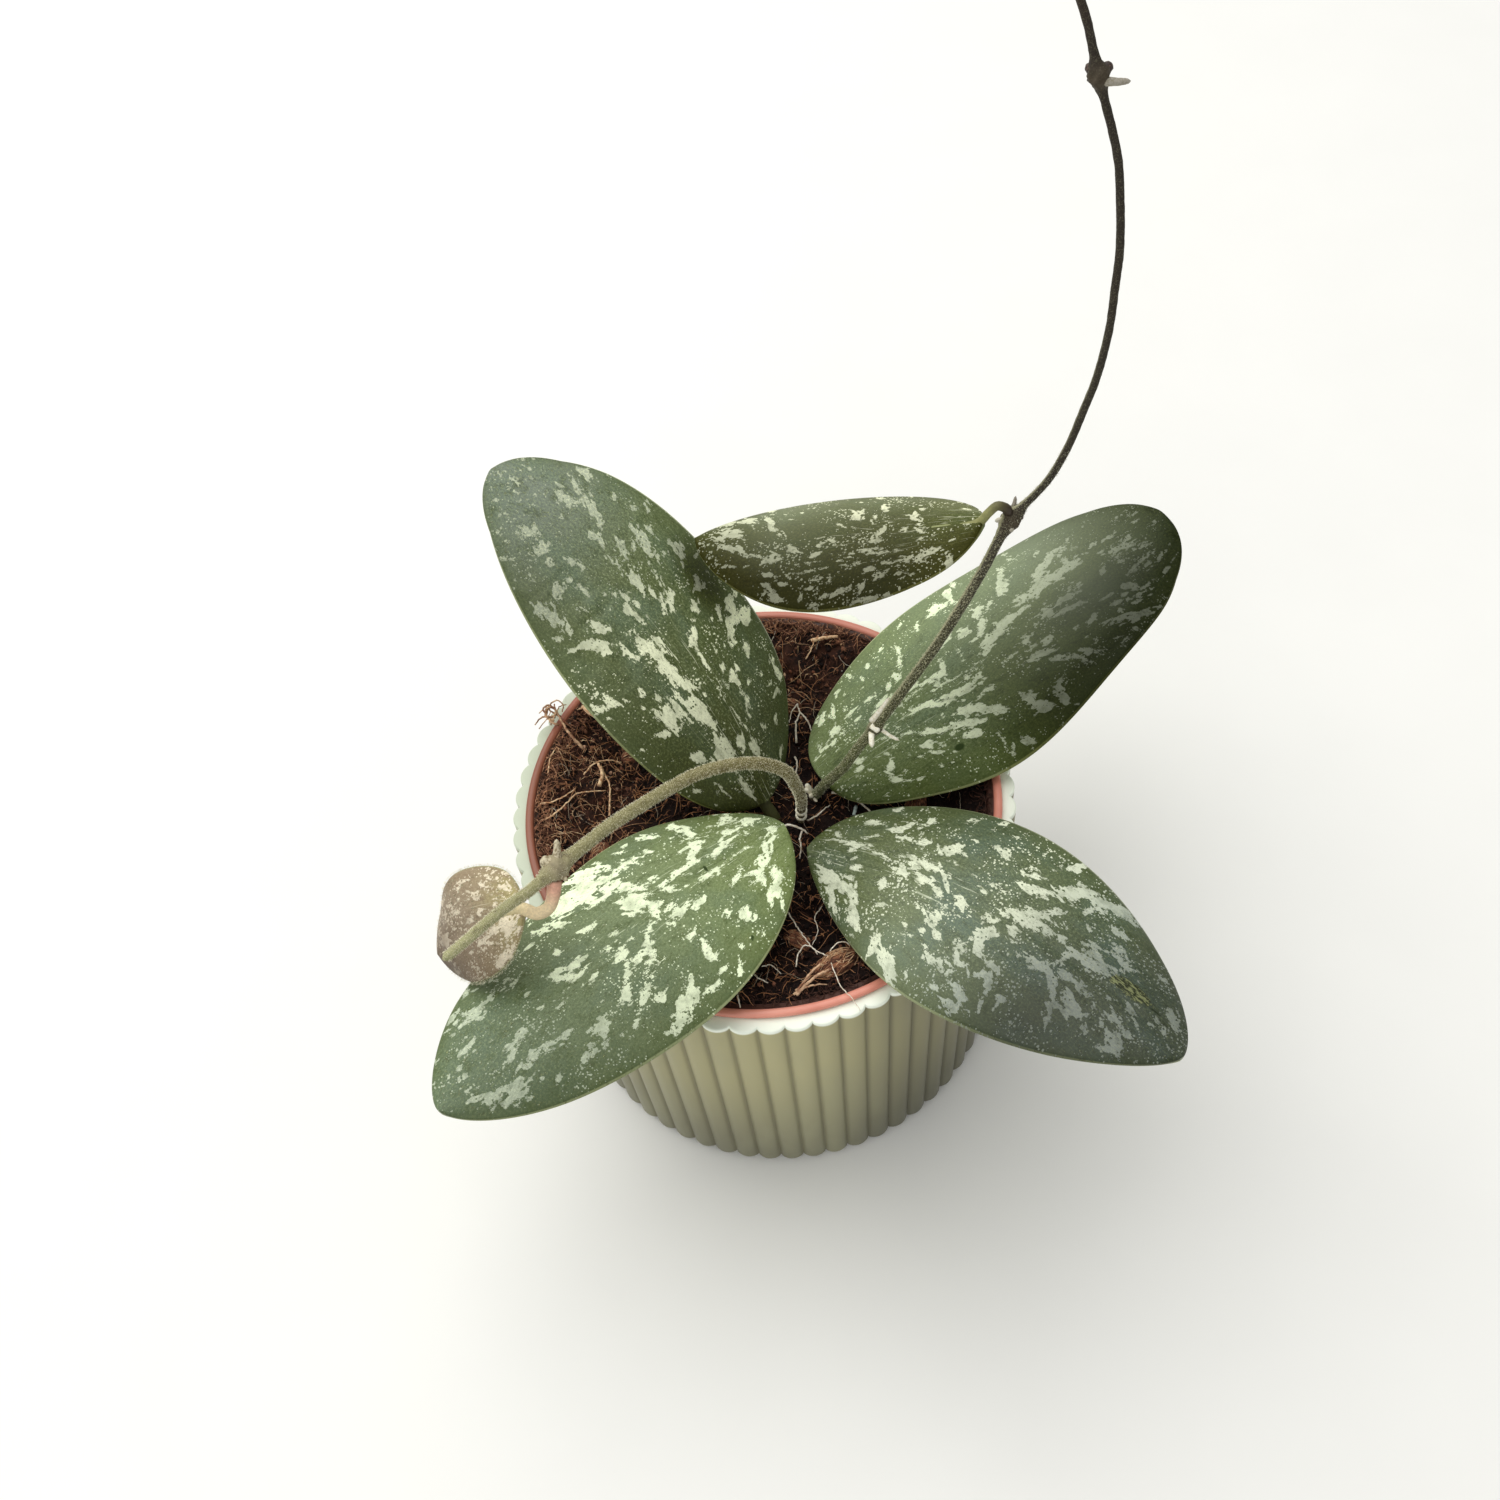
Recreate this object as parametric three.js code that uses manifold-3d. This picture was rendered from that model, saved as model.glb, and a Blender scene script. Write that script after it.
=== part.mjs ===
// A potted hoya sigillatis: a nursery pot of soil in a ribbed cachepot, six leaves and two stems.
// Millimetres, +Z up, the front is -Y. The origin is the centre of the cachepot's flat base.
import * as THREE from "three";
import { mergeVertices } from "three/addons/utils/BufferGeometryUtils.js";
import Module from "manifold-3d";

const wasm = await Module();
wasm.setup();

// Clearance between pieces that touch on the real plant
const GAP = 0.3;

// Cachepot: upright ribs all round, whose grooves run from the rim to the base
const CACHEPOT = {
  height: 80,
  grooveRadiusTop: 54.3,
  grooveRadiusBase: 51.6,
  ribCount: 60,
  ribBulge: 1.25,
  firstGrooveAngle: -13.8,
  pointsPerRib: 3,
  innerRadiusTop: 51.3,
  innerRadiusBase: 47.5,
  floorTop: 4,
  baseRounding: 3,
};

// Nursery pot: it stands on the cachepot's floor, with its lip just over the cachepot's rim
const POT = {
  segments: 60,
  lipTop: 81.5,
  lipHeight: 1.2,
  lipRadius: 52.5,
  lipInnerRadius: 50.7,
  lipEdge: 0.3,
  stepDrop: 0.6,
  bodyRadiusTop: 50.5,
  bodyRadiusBase: 38,
  baseChamfer: 1,
  innerRadiusTop: 49.4,
  innerRadiusBase: 36.8,
  floorThickness: 1.3,
  drainHoles: 6,
  drainHoleRadius: 4,
  drainHoleSides: 12,
  drainHoleCircle: 24,
  drillLength: 6,
};

// Soil: a packed body with a lumpy top, and coir chips sunk into it. Its outermost ring of points
// lies ringInset of a ring's width inside the edge.
const SOIL = {
  top: 76.3,
  rings: 10,
  ringInset: 0.4,
  lumpHeight: 0.8,
  crownHeight: 0.7,
  crownRadius: 22,
  chipRise: 0.2,
  chips: [
    { at: [10.6, -42.0], size: [5.2, 2.6, 2.4], turn: 25 },
    { at: [3.4, -33.5], size: [3.2, 1.8, 1.6], turn: -40 },
    { at: [33.5, -4.5], size: [3.4, 2.2, 1.8], turn: 70 },
    { at: [-27, 19], size: [3.6, 1.8, 1.6], turn: 10 },
    { at: [9, 27], size: [3.4, 2.1, 1.8], turn: -15 },
    { at: [-37, -6], size: [3.0, 1.9, 1.7], turn: 55 },
  ],
};

// Blades: angles in degrees, with the value at the base and at the tip where there are two.
// Left and right are seen from above, looking from the base to the tip.
const BLADE = {
  steps: 21,
  across: 8,
  endInset: 0.0008,
  midThickness: 1.8,
  edgeThickness: 0.9,
  midribSamples: 120,
  waveFade: 6.4,
};
const LEAVES = {
  leaf_back_left: {
    base: [0.8, -2.5, 83.7],
    length: 96.6,
    width: 44.7,
    heading: 121.9,
    sweep: 9.3,
    pitch: [52.4, 4.1],
    roll: [11.9, -14.4],
    fullness: [0.47, 0.6],
    cup: 0.19,
    lean: -0.06,
    wave: { left: 0.3, right: 1.5, count: 1.64, phase: -0.13 },
    foot: [2.2, -3.6],
  },
  leaf_back_right: {
    base: [13.5, 2.1, 82.5],
    length: 100.1,
    width: 48.5,
    heading: 26.3,
    sweep: 6.8,
    pitch: [11.0, 6.9],
    roll: [-2.8, -6.3],
    fullness: [0.43, 0.49],
    cup: 0.13,
    lean: 0,
    wave: { left: -1.0, right: 2.7, count: 1.62, phase: 0.18 },
    foot: [17.5, 7.0],
  },
  leaf_front_left: {
    base: [3.9, -13.6, 90.4],
    length: 92.3,
    width: 44.7,
    heading: 208.8,
    sweep: 16.9,
    pitch: [8.8, -3.4],
    roll: [-3.2, 2.4],
    fullness: [0.54, 0.62],
    cup: 0.19,
    lean: 0.1,
    wave: { left: -0.5, right: 1.6, count: 1.71, phase: -0.26 },
    foot: [1.2, -14.5],
  },
  leaf_front_right: {
    base: [8.3, -17.7, 86.7],
    length: 90.1,
    width: 44.9,
    heading: -30.8,
    sweep: -27.8,
    pitch: [17.7, -4.5],
    roll: [17.9, -12.9],
    fullness: [0.65, 0.67],
    cup: 0.18,
    lean: -0.03,
    wave: { left: 0.9, right: 0.5, count: 1.55, phase: 0.49 },
    foot: [12.4, -18.6],
  },
  leaf_vine: {
    base: [50.9, 19.0, 140.4],
    length: 63.7,
    width: 33.8,
    heading: 160.8,
    sweep: -2.2,
    pitch: [-21.0, -11.2],
    roll: [8.1, 2.3],
    fullness: [0.58, 0.69],
    cup: 0.24,
    lean: 0.03,
    wave: { left: 0.7, right: 0, count: 1.23, phase: -0.06 },
  },
  leaf_young: {
    base: [-48.1, -37.8, 113.0],
    length: 29.2,
    width: 22.5,
    heading: 171.1,
    sweep: -0.8,
    pitch: [-22.1, -63.2],
    roll: [-21.6, -28.0],
    fullness: [0.52, 0.55],
    cup: 0.13,
    lean: -0.03,
    wave: { left: -0.4, right: -1.2, count: 1.3, phase: 0.02 },
    midThickness: 1.3,
  },
};

// Petioles: the four low leaves stand in the soil, the other two hang on a stem's node
const PETIOLE = {
  sides: 8,
  step: 1.8,
  radius: 1.5,
  holeBottom: 68,
  straightTop: 77.5,
  straightLength: 4,
  bladeReach: 0.17,
  bladeRadius: 0.9,
  // Under the blade: share of the reach, and depth below the midrib
  approach: [[0.35, 1.8], [0.6, 0.9], [1, 0.3]],
  hungApproach: [[0.12, 0], [1, 0.3]],
};
const HUNG_PETIOLES = {
  leaf_vine: {
    radius: 0.9,
    node: [56.5, 19.7, 139.5],
    nodeRadius: 2.1,
    arc: [[55.4, 19.6, 142.9], [53.6, 19.7, 143.9], [51.9, 19.4, 142.6]],
  },
  leaf_young: {
    radius: 1.25,
    node: [-40.6, -33.8, 119.5],
    nodeRadius: 2.3,
    arc: [[-41.8, -37.6, 116.4], [-43.0, -39.3, 114.6], [-45.6, -39.6, 113.4]],
  },
};

// Stems: routes from the buried end to the tip, each first stretch straight in its hole, and
// radii as pairs of the place along the stem, from 0 to 1, and the radius there.
// Nubs are the starts of aerial roots and the scars of old leaves.
const STEM = {
  sides: 8,
  step: 3,
  tipBluntness: 0.45,
  knuckleSides: 8,
  knuckleRings: 6,
  nubSides: 6,
};
const HOLE = { sides: 10, overrun: 6 };
const SHOOT = {
  route: [
    [8.0, -3.0, 68], [8.4, -4.0, 76], [9.0, -6.1, 84.5], [9.0, -7.8, 91.5], [7.7, -9.2, 99.5],
    [5.5, -10.5, 106.5], [0.6, -11.8, 112.5], [-5.3, -13.2, 115.5], [-11.4, -15.1, 117],
    [-17.5, -18.3, 118], [-23.7, -21.9, 118.5], [-29.7, -25.6, 119], [-34.8, -29.6, 119.5],
    [-40.6, -33.8, 119.5], [-45.7, -37.9, 119.5], [-51.7, -41.4, 119], [-57.5, -45.6, 118.5],
    [-62.9, -49.1, 117.5],
  ],
  radii: [[0, 1.15], [0.3, 1.25], [0.77, 1.25], [0.8, 1.1], [1, 0.95]],
  knuckles: [
    { at: [8.6, -4.7, 78.6], radius: 1.55 },
    { at: [-40.6, -33.8, 119.5], radius: 2.3 },
  ],
  nubs: [
    { from: [-40.4, -33.4, 120.2], to: [-39.6, -30.0, 123.6], radii: [1.1, 0.5] },
    { from: [-40.6, -33.8, 120.0], to: [-43.3, -32.6, 121.0], radii: [1.4, 1.0] },
    { from: [-40.6, -33.8, 119.5], to: [-38.7, -36.2, 118.2], radii: [0.8, 0.4] },
  ],
};
const VINE = {
  route: [
    [10.9, 3.0, 68], [11.6, 1.7, 76], [12.5, 0, 80.5], [13.8, -1.6, 85.5], [16.0, -2.9, 90.5],
    [18.5, -3.8, 95.5], [21.4, -3.6, 101], [25.2, -3.4, 107.5], [31.8, -1.1, 116.5],
    [39.4, 2.2, 126.5], [48.3, 10.0, 134.5], [56.5, 19.7, 139.5], [58.7, 19.9, 142.4],
    [63.6, 20.6, 148.4], [67.3, 22.6, 154.4], [70.7, 25.6, 161.4], [73.1, 28.0, 166.4],
    [75.8, 32.3, 174.4], [76.9, 35.4, 181], [77.7, 37.8, 187.5], [77.9, 41.2, 194.5],
    [77.6, 44.4, 201.5], [76.3, 46.8, 207.5], [73.7, 48.9, 216.5], [71.8, 51.3, 224.5],
    [70.5, 52.1, 228.5], [67.0, 54.5, 238], [61.5, 57.0, 247.5], [54.5, 59.5, 255],
    [47.0, 61.5, 259.5],
  ],
  radii: [[0, 1.08], [0.4, 1.02], [0.42, 0.77], [0.85, 0.79], [1, 0.5]],
  knuckles: [
    { at: [12.1, 0.8, 78.4], radius: 1.45 },
    { at: [25.2, -3.4, 107.5], radius: 1.55 },
    { at: [56.5, 19.7, 139.5], radius: 2.1 },
    { at: [73.7, 48.9, 216.5], radius: 2.0 },
    { at: [54.5, 59.5, 255], radius: 1.1 },
  ],
  nubs: [
    { from: [24.6, -3.4, 107.5], to: [24.0, -6.9, 105.3], radii: [0.6, 0.4] },
    { from: [25.6, -3.2, 107.5], to: [29.7, -6.0, 105.3], radii: [0.6, 0.25] },
    { from: [56.4, 20.4, 140.2], to: [58.1, 23.3, 142.0], radii: [0.6, 0.3] },
    { from: [56.5, 19.7, 139.5], to: [53.3, 19.8, 139.4], radii: [0.7, 0.4] },
    { from: [56.5, 19.7, 139.5], to: [56.2, 16.9, 138.7], radii: [0.8, 0.45] },
    { from: [56.5, 19.7, 139.5], to: [58.9, 20.3, 139.9], radii: [1.2, 0.9] },
    { from: [74.3, 47.9, 215.9], to: [79.0, 47.5, 215.5], radii: [0.9, 0.45] },
    { from: [73.7, 48.9, 216.5], to: [71.9, 50.6, 217.7], radii: [1.4, 0.8] },
    { from: [73.7, 48.9, 216.5], to: [76.1, 50.3, 217.5], radii: [1.4, 0.8] },
    { from: [54.5, 59.5, 255], to: [54.9, 62.9, 257.4], radii: [0.6, 0.25] },
    { from: [54.5, 59.5, 255], to: [52.6, 56.4, 257.0], radii: [0.6, 0.25] },
  ],
};

const SAGE = new THREE.MeshStandardMaterial({ color: 0xc3cdb4, roughness: 0.45 });
const TERRACOTTA = new THREE.MeshStandardMaterial({ color: 0xb85c4a, roughness: 0.5 });
const PEAT = new THREE.MeshStandardMaterial({ color: 0x3a2418, roughness: 0.95 });
const LEAF_GREEN = new THREE.MeshStandardMaterial({ color: 0x57704c, roughness: 0.4 });
const YOUNG_MAUVE = new THREE.MeshStandardMaterial({ color: 0x8c7d70, roughness: 0.6 });
const SHOOT_OLIVE = new THREE.MeshStandardMaterial({ color: 0x8b8b62, roughness: 0.8 });
const VINE_BROWN = new THREE.MeshStandardMaterial({ color: 0x55503c, roughness: 0.8 });

const radians = THREE.MathUtils.degToRad;
const lerp = THREE.MathUtils.lerp;
const point = (xyz) => new THREE.Vector3(...xyz);

// The value at a place from 0 to 1, from pairs of place and value
function along(pairs, place) {
  const next = Math.max(pairs.findIndex(([start]) => start >= place), 1);
  const [[start, from], [end, to]] = [pairs[next - 1], pairs[next]];
  return lerp(from, to, (place - start) / (end - start));
}

function solidOf(geometry) {
  const bare = new THREE.BufferGeometry();
  bare.setAttribute("position", geometry.getAttribute("position"));
  if (geometry.index) bare.setIndex(geometry.index);
  const merged = mergeVertices(bare, 1e-4);
  return new wasm.Manifold(
    new wasm.Mesh({
      numProp: 3,
      vertProperties: new Float32Array(merged.attributes.position.array),
      triVerts: new Uint32Array(merged.index.array),
    }),
  );
}

function geometryOf(solid) {
  const mesh = solid.getMesh();
  const geometry = new THREE.BufferGeometry();
  geometry.setAttribute("position", new THREE.BufferAttribute(mesh.vertProperties, 3));
  geometry.setIndex(new THREE.BufferAttribute(mesh.triVerts, 1));
  geometry.computeVertexNormals();
  return geometry;
}

function indexedGeometry(points, triangles) {
  const geometry = new THREE.BufferGeometry();
  geometry.setFromPoints(points);
  geometry.setIndex(triangles);
  return geometry;
}

// A closed skin over rings of equal length, which run anticlockwise seen from the end they lead to
function loft(rings) {
  const count = rings[0].length;
  const points = rings.flat();
  const triangles = [];
  for (let ring = 0; ring + 1 < rings.length; ring += 1) {
    for (let i = 0; i < count; i += 1) {
      const a = ring * count + i;
      const b = ring * count + ((i + 1) % count);
      triangles.push(a, b, b + count, a, b + count, a + count);
    }
  }
  const middle = (ring) =>
    ring.reduce((sum, p) => sum.add(p), new THREE.Vector3()).divideScalar(count);
  const first = points.push(middle(rings[0])) - 1;
  const last = points.push(middle(rings.at(-1))) - 1;
  const lastRing = (rings.length - 1) * count;
  for (let i = 0; i < count; i += 1) {
    const next = (i + 1) % count;
    triangles.push(first, next, i, last, lastRing + i, lastRing + next);
  }
  return indexedGeometry(points, triangles);
}

// A round tube along a curve, its radius given for each u
function tube(curve, steps, sides, radiusAt) {
  const frames = curve.computeFrenetFrames(steps, false);
  const rings = [];
  for (let step = 0; step <= steps; step += 1) {
    const u = step / steps;
    const centre = curve.getPointAt(u);
    const ring = [];
    for (let side = 0; side < sides; side += 1) {
      const angle = (2 * Math.PI * side) / sides;
      ring.push(
        centre
          .clone()
          .addScaledVector(frames.normals[step], radiusAt(u) * Math.cos(angle))
          .addScaledVector(frames.binormals[step], radiusAt(u) * Math.sin(angle)),
      );
    }
    rings.push(ring);
  }
  return loft(rings);
}

function nubGeometry({ from, to, radii }) {
  const start = point(from);
  const way = point(to).sub(start);
  const cone = new THREE.CylinderGeometry(radii[1], radii[0], way.length(), STEM.nubSides);
  cone.translate(0, way.length() / 2, 0);
  cone.applyQuaternion(
    new THREE.Quaternion().setFromUnitVectors(new THREE.Vector3(0, 1, 0), way.normalize()),
  );
  return cone.translate(start.x, start.y, start.z);
}

// Cachepot

function ribbedRing(z, inset) {
  const grooveRadius = lerp(
    CACHEPOT.grooveRadiusBase,
    CACHEPOT.grooveRadiusTop,
    z / CACHEPOT.height,
  );
  const count = CACHEPOT.ribCount * CACHEPOT.pointsPerRib;
  return Array.from({ length: count }, (_, i) => {
    const acrossRib = (i % CACHEPOT.pointsPerRib) / CACHEPOT.pointsPerRib;
    const radius = grooveRadius - inset + CACHEPOT.ribBulge * Math.sin(Math.PI * acrossRib);
    const angle = radians(CACHEPOT.firstGrooveAngle - 90) + (2 * Math.PI * i) / count;
    return new THREE.Vector3(radius * Math.cos(angle), radius * Math.sin(angle), z);
  });
}

function roundRing(z, radius) {
  return ribbedRing(z, 0).map((p) => {
    const scale = radius / Math.hypot(p.x, p.y);
    return new THREE.Vector3(p.x * scale, p.y * scale, z);
  });
}

function cachepotGeometry() {
  const { height, floorTop, innerRadiusTop, innerRadiusBase, baseRounding } = CACHEPOT;
  const halfway = baseRounding * (1 - Math.SQRT1_2);
  return loft([
    ribbedRing(0, baseRounding),
    ribbedRing(halfway, halfway),
    ribbedRing(baseRounding, 0),
    ribbedRing(height, 0),
    roundRing(height, innerRadiusTop),
    roundRing(floorTop, innerRadiusBase),
  ]);
}

// Nursery pot and soil

const potFloor = CACHEPOT.floorTop + GAP;
const potInnerFloor = potFloor + POT.floorThickness;
const potInnerTop = POT.lipTop - POT.stepDrop;

function potInnerRadius(z) {
  const share = (z - potInnerFloor) / (potInnerTop - potInnerFloor);
  return lerp(POT.innerRadiusBase, POT.innerRadiusTop, share);
}

function nurseryPotGeometry() {
  const lipBottom = POT.lipTop - POT.lipHeight;
  const profile = [
    [0, potFloor],
    [POT.bodyRadiusBase - POT.baseChamfer, potFloor],
    [POT.bodyRadiusBase, potFloor + POT.baseChamfer],
    [POT.bodyRadiusTop, lipBottom],
    [POT.lipRadius, lipBottom],
    [POT.lipRadius, POT.lipTop - POT.lipEdge],
    [POT.lipRadius - POT.lipEdge, POT.lipTop],
    [POT.lipInnerRadius, POT.lipTop],
    [POT.lipInnerRadius - POT.lipEdge, potInnerTop],
    [POT.innerRadiusTop, potInnerTop],
    [POT.innerRadiusBase, potInnerFloor],
    [0, potInnerFloor],
  ].map(([radius, z]) => new THREE.Vector2(radius, z));
  const shell = new THREE.LatheGeometry(profile, POT.segments).rotateX(Math.PI / 2);
  let solid = solidOf(shell);
  for (let hole = 0; hole < POT.drainHoles; hole += 1) {
    const angle = (2 * Math.PI * hole) / POT.drainHoles;
    const drill = new THREE.CylinderGeometry(
      POT.drainHoleRadius,
      POT.drainHoleRadius,
      POT.drillLength,
      POT.drainHoleSides,
    )
      .rotateX(Math.PI / 2)
      .translate(
        POT.drainHoleCircle * Math.cos(angle),
        POT.drainHoleCircle * Math.sin(angle),
        potFloor + POT.floorThickness / 2,
      );
    solid = solid.subtract(solidOf(drill));
  }
  return geometryOf(solid);
}

// Height of the soil's lumpy top over a place
function soilHeight(x, y) {
  const lumps =
    Math.sin(0.36 * x + 1.7 * Math.sin(0.19 * y)) * Math.cos(0.41 * y - 1.3 * Math.sin(0.23 * x));
  const crown = Math.exp(-((Math.hypot(x, y) / SOIL.crownRadius) ** 2));
  return SOIL.top + SOIL.lumpHeight * lumps + SOIL.crownHeight * crown;
}

function soilRing(radius, height) {
  return Array.from({ length: POT.segments }, (_, i) => {
    const angle = (2 * Math.PI * i) / POT.segments;
    const x = radius * Math.cos(angle);
    const y = radius * Math.sin(angle);
    return new THREE.Vector3(x, y, height ?? soilHeight(x, y));
  });
}

function soilGeometry(holes) {
  const bottom = potInnerFloor + GAP;
  const edgeHeight = SOIL.top - SOIL.lumpHeight;
  const edgeRadius = potInnerRadius(edgeHeight) - GAP;
  const rings = [soilRing(potInnerRadius(bottom) - GAP, bottom), soilRing(edgeRadius, edgeHeight)];
  for (let ring = SOIL.rings; ring > 0; ring -= 1)
    rings.push(soilRing((edgeRadius * (ring - SOIL.ringInset)) / SOIL.rings));
  let solid = solidOf(loft(rings));
  for (const chip of SOIL.chips) {
    const [x, y] = chip.at;
    const lump = new THREE.IcosahedronGeometry(1, 0)
      .scale(...chip.size)
      .rotateZ(radians(chip.turn))
      .translate(x, y, soilHeight(x, y) + chip.size[2] * SOIL.chipRise);
    solid = solid.add(solidOf(lump));
  }
  for (const hole of holes) solid = solid.subtract(solidOf(hole));
  return geometryOf(solid);
}

// A plain straight hole for something that leaves the soil from "bottom" towards "mouth"
function holeFor(bottom, mouth, radius) {
  const way = mouth.clone().sub(bottom).normalize();
  const start = bottom.clone().addScaledVector(way, -GAP);
  const length = mouth.distanceTo(bottom) + HOLE.overrun;
  const hole = new THREE.CylinderGeometry(radius + GAP, radius + GAP, length, HOLE.sides);
  hole.translate(0, length / 2, 0);
  hole.applyQuaternion(new THREE.Quaternion().setFromUnitVectors(new THREE.Vector3(0, 1, 0), way));
  return hole.translate(start.x, start.y, start.z);
}

// Leaves

// The midrib's points, evenly spaced from base to tip
function midribOf(leaf) {
  const points = [point(leaf.base)];
  const step = leaf.length / BLADE.midribSamples;
  for (let i = 0; i < BLADE.midribSamples; i += 1) {
    const { tangent } = directionsAt(leaf, (i + 0.5) / BLADE.midribSamples);
    points.push(points.at(-1).clone().addScaledVector(tangent, step));
  }
  return points;
}

// Which way the blade runs, its left side and its upper face at u
function directionsAt(leaf, u) {
  const heading = radians(leaf.heading + leaf.sweep * u);
  const pitch = radians(lerp(...leaf.pitch, u));
  const roll = radians(lerp(...leaf.roll, u));
  const tangent = new THREE.Vector3(
    Math.cos(pitch) * Math.cos(heading),
    Math.cos(pitch) * Math.sin(heading),
    Math.sin(pitch),
  );
  const level = new THREE.Vector3(-Math.sin(heading), Math.cos(heading), 0);
  const upright = tangent.clone().cross(level);
  const left = level.clone().multiplyScalar(Math.cos(roll)).addScaledVector(upright, Math.sin(roll));
  const up = upright.multiplyScalar(Math.cos(roll)).addScaledVector(level, -Math.sin(roll));
  return { tangent, left, up };
}

// Half width at u: a round-ended oval, fuller towards the base or the tip as the two powers say
function halfWidthAt(leaf, u) {
  const [atBase, atTip] = leaf.fullness;
  const widest = atBase / (atBase + atTip);
  return (leaf.width / 2) * (u / widest) ** atBase * ((1 - u) / (1 - widest)) ** atTip;
}

// A point of the blade's middle surface: u from base to tip, t from -1 (right edge) to 1 (left)
function bladePoint(leaf, midrib, u, t) {
  const { left, up } = directionsAt(leaf, u);
  const place = u * BLADE.midribSamples;
  const index = Math.min(Math.floor(place), BLADE.midribSamples - 1);
  const centre = midrib[index].clone().lerp(midrib[index + 1], place - index);
  const half = halfWidthAt(leaf, u);
  const inBody = Math.min(BLADE.waveFade * u * (1 - u), 1);
  const wave = Math.sin(2 * Math.PI * (leaf.wave.count * u + leaf.wave.phase)) * inBody;
  const waveHeight = t > 0 ? leaf.wave.left : leaf.wave.right;
  const sideShare = 1 + Math.sign(t) * leaf.lean;
  return centre
    .addScaledVector(left, half * t * sideShare)
    .addScaledVector(up, (waveHeight * wave - leaf.cup * half) * t * t);
}

function bladeGeometry(leaf, midrib) {
  const { steps, across, endInset } = BLADE;
  const midThickness = leaf.midThickness ?? BLADE.midThickness;
  const top = [];
  const bottom = [];
  for (let i = 0; i <= steps; i += 1) {
    const u = lerp(endInset, 1 - endInset, (1 - Math.cos((Math.PI * i) / steps)) / 2);
    const { up } = directionsAt(leaf, u);
    for (let j = 0; j <= across; j += 1) {
      const t = (2 * j) / across - 1;
      const half = lerp(midThickness, BLADE.edgeThickness, t * t) / 2;
      const middle = bladePoint(leaf, midrib, u, t);
      top.push(middle.clone().addScaledVector(up, half));
      bottom.push(middle.addScaledVector(up, -half));
    }
  }
  const under = top.length;
  const at = (i, j) => i * (across + 1) + j;
  const triangles = [];
  for (let i = 0; i < steps; i += 1) {
    for (let j = 0; j < across; j += 1) {
      const [a, b, c, d] = [at(i, j), at(i + 1, j), at(i + 1, j + 1), at(i, j + 1)];
      triangles.push(a, b, c, a, c, d);
      triangles.push(under + a, under + c, under + b, under + a, under + d, under + c);
    }
    const [r0, r1] = [at(i, 0), at(i + 1, 0)];
    const [l0, l1] = [at(i, across), at(i + 1, across)];
    triangles.push(r0, under + r0, under + r1, r0, under + r1, r1);
    triangles.push(l0, under + l1, under + l0, l0, l1, under + l1);
  }
  for (let j = 0; j < across; j += 1) {
    const [s0, s1] = [at(0, j), at(0, j + 1)];
    const [e0, e1] = [at(steps, j), at(steps, j + 1)];
    triangles.push(s0, s1, under + s1, s0, under + s1, under + s0);
    triangles.push(e0, under + e1, e1, e0, under + e0, under + e1);
  }
  return indexedGeometry([...top, ...bottom], triangles);
}

// The petiole's course, from its foot to where it dies out under the midrib
function petioleCurve(name, leaf, midrib) {
  const underBlade = ([share, depth]) => {
    const u = share * PETIOLE.bladeReach;
    return bladePoint(leaf, midrib, u, 0).addScaledVector(directionsAt(leaf, u).up, -depth);
  };
  if (leaf.foot) {
    const [x, y] = leaf.foot;
    return new THREE.CatmullRomCurve3([
      new THREE.Vector3(x, y, PETIOLE.holeBottom),
      new THREE.Vector3(x, y, PETIOLE.straightTop - PETIOLE.straightLength),
      new THREE.Vector3(x, y, PETIOLE.straightTop),
      ...PETIOLE.approach.map(underBlade),
    ]);
  }
  const hung = HUNG_PETIOLES[name];
  const node = point(hung.node);
  const arc = hung.arc.map(point);
  const start = arc[0].clone().sub(node).setLength(hung.nodeRadius + GAP).add(node);
  return new THREE.CatmullRomCurve3([start, ...arc, ...PETIOLE.hungApproach.map(underBlade)]);
}

function leafGeometry(name, leaf) {
  const midrib = midribOf(leaf);
  const curve = petioleCurve(name, leaf, midrib);
  const radius = HUNG_PETIOLES[name]?.radius ?? PETIOLE.radius;
  const steps = Math.ceil(curve.getLength() / PETIOLE.step);
  const petiole = tube(curve, steps, PETIOLE.sides, (u) =>
    lerp(radius, Math.min(radius, PETIOLE.bladeRadius), u ** 2),
  );
  return geometryOf(solidOf(bladeGeometry(leaf, midrib)).add(solidOf(petiole)));
}

// Stems

function stemGeometry(stem) {
  const curve = new THREE.CatmullRomCurve3(stem.route.map(point), false, "centripetal");
  const steps = Math.ceil(curve.getLength() / STEM.step);
  const blunt = (u) => Math.min(1, lerp(STEM.tipBluntness, 1, (1 - u) * steps));
  let solid = solidOf(tube(curve, steps, STEM.sides, (u) => along(stem.radii, u) * blunt(u)));
  for (const { at, radius } of stem.knuckles) {
    const knuckle = new THREE.SphereGeometry(radius, STEM.knuckleSides, STEM.knuckleRings);
    solid = solid.add(solidOf(knuckle.translate(...at)));
  }
  for (const nub of stem.nubs) solid = solid.add(solidOf(nubGeometry(nub)));
  return geometryOf(solid);
}

// The plant, node by node

const holes = [
  holeFor(point(SHOOT.route[0]), point(SHOOT.route[1]), SHOOT.knuckles[0].radius),
  holeFor(point(VINE.route[0]), point(VINE.route[1]), VINE.knuckles[0].radius),
];
for (const { foot } of Object.values(LEAVES)) {
  if (!foot) continue;
  const bottom = new THREE.Vector3(...foot, PETIOLE.holeBottom);
  holes.push(holeFor(bottom, new THREE.Vector3(...foot, PETIOLE.straightTop), PETIOLE.radius));
}

const plant = new THREE.Group();

function addNode(name, geometry, material) {
  const mesh = new THREE.Mesh(geometry, material);
  mesh.name = name;
  plant.add(mesh);
}

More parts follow.
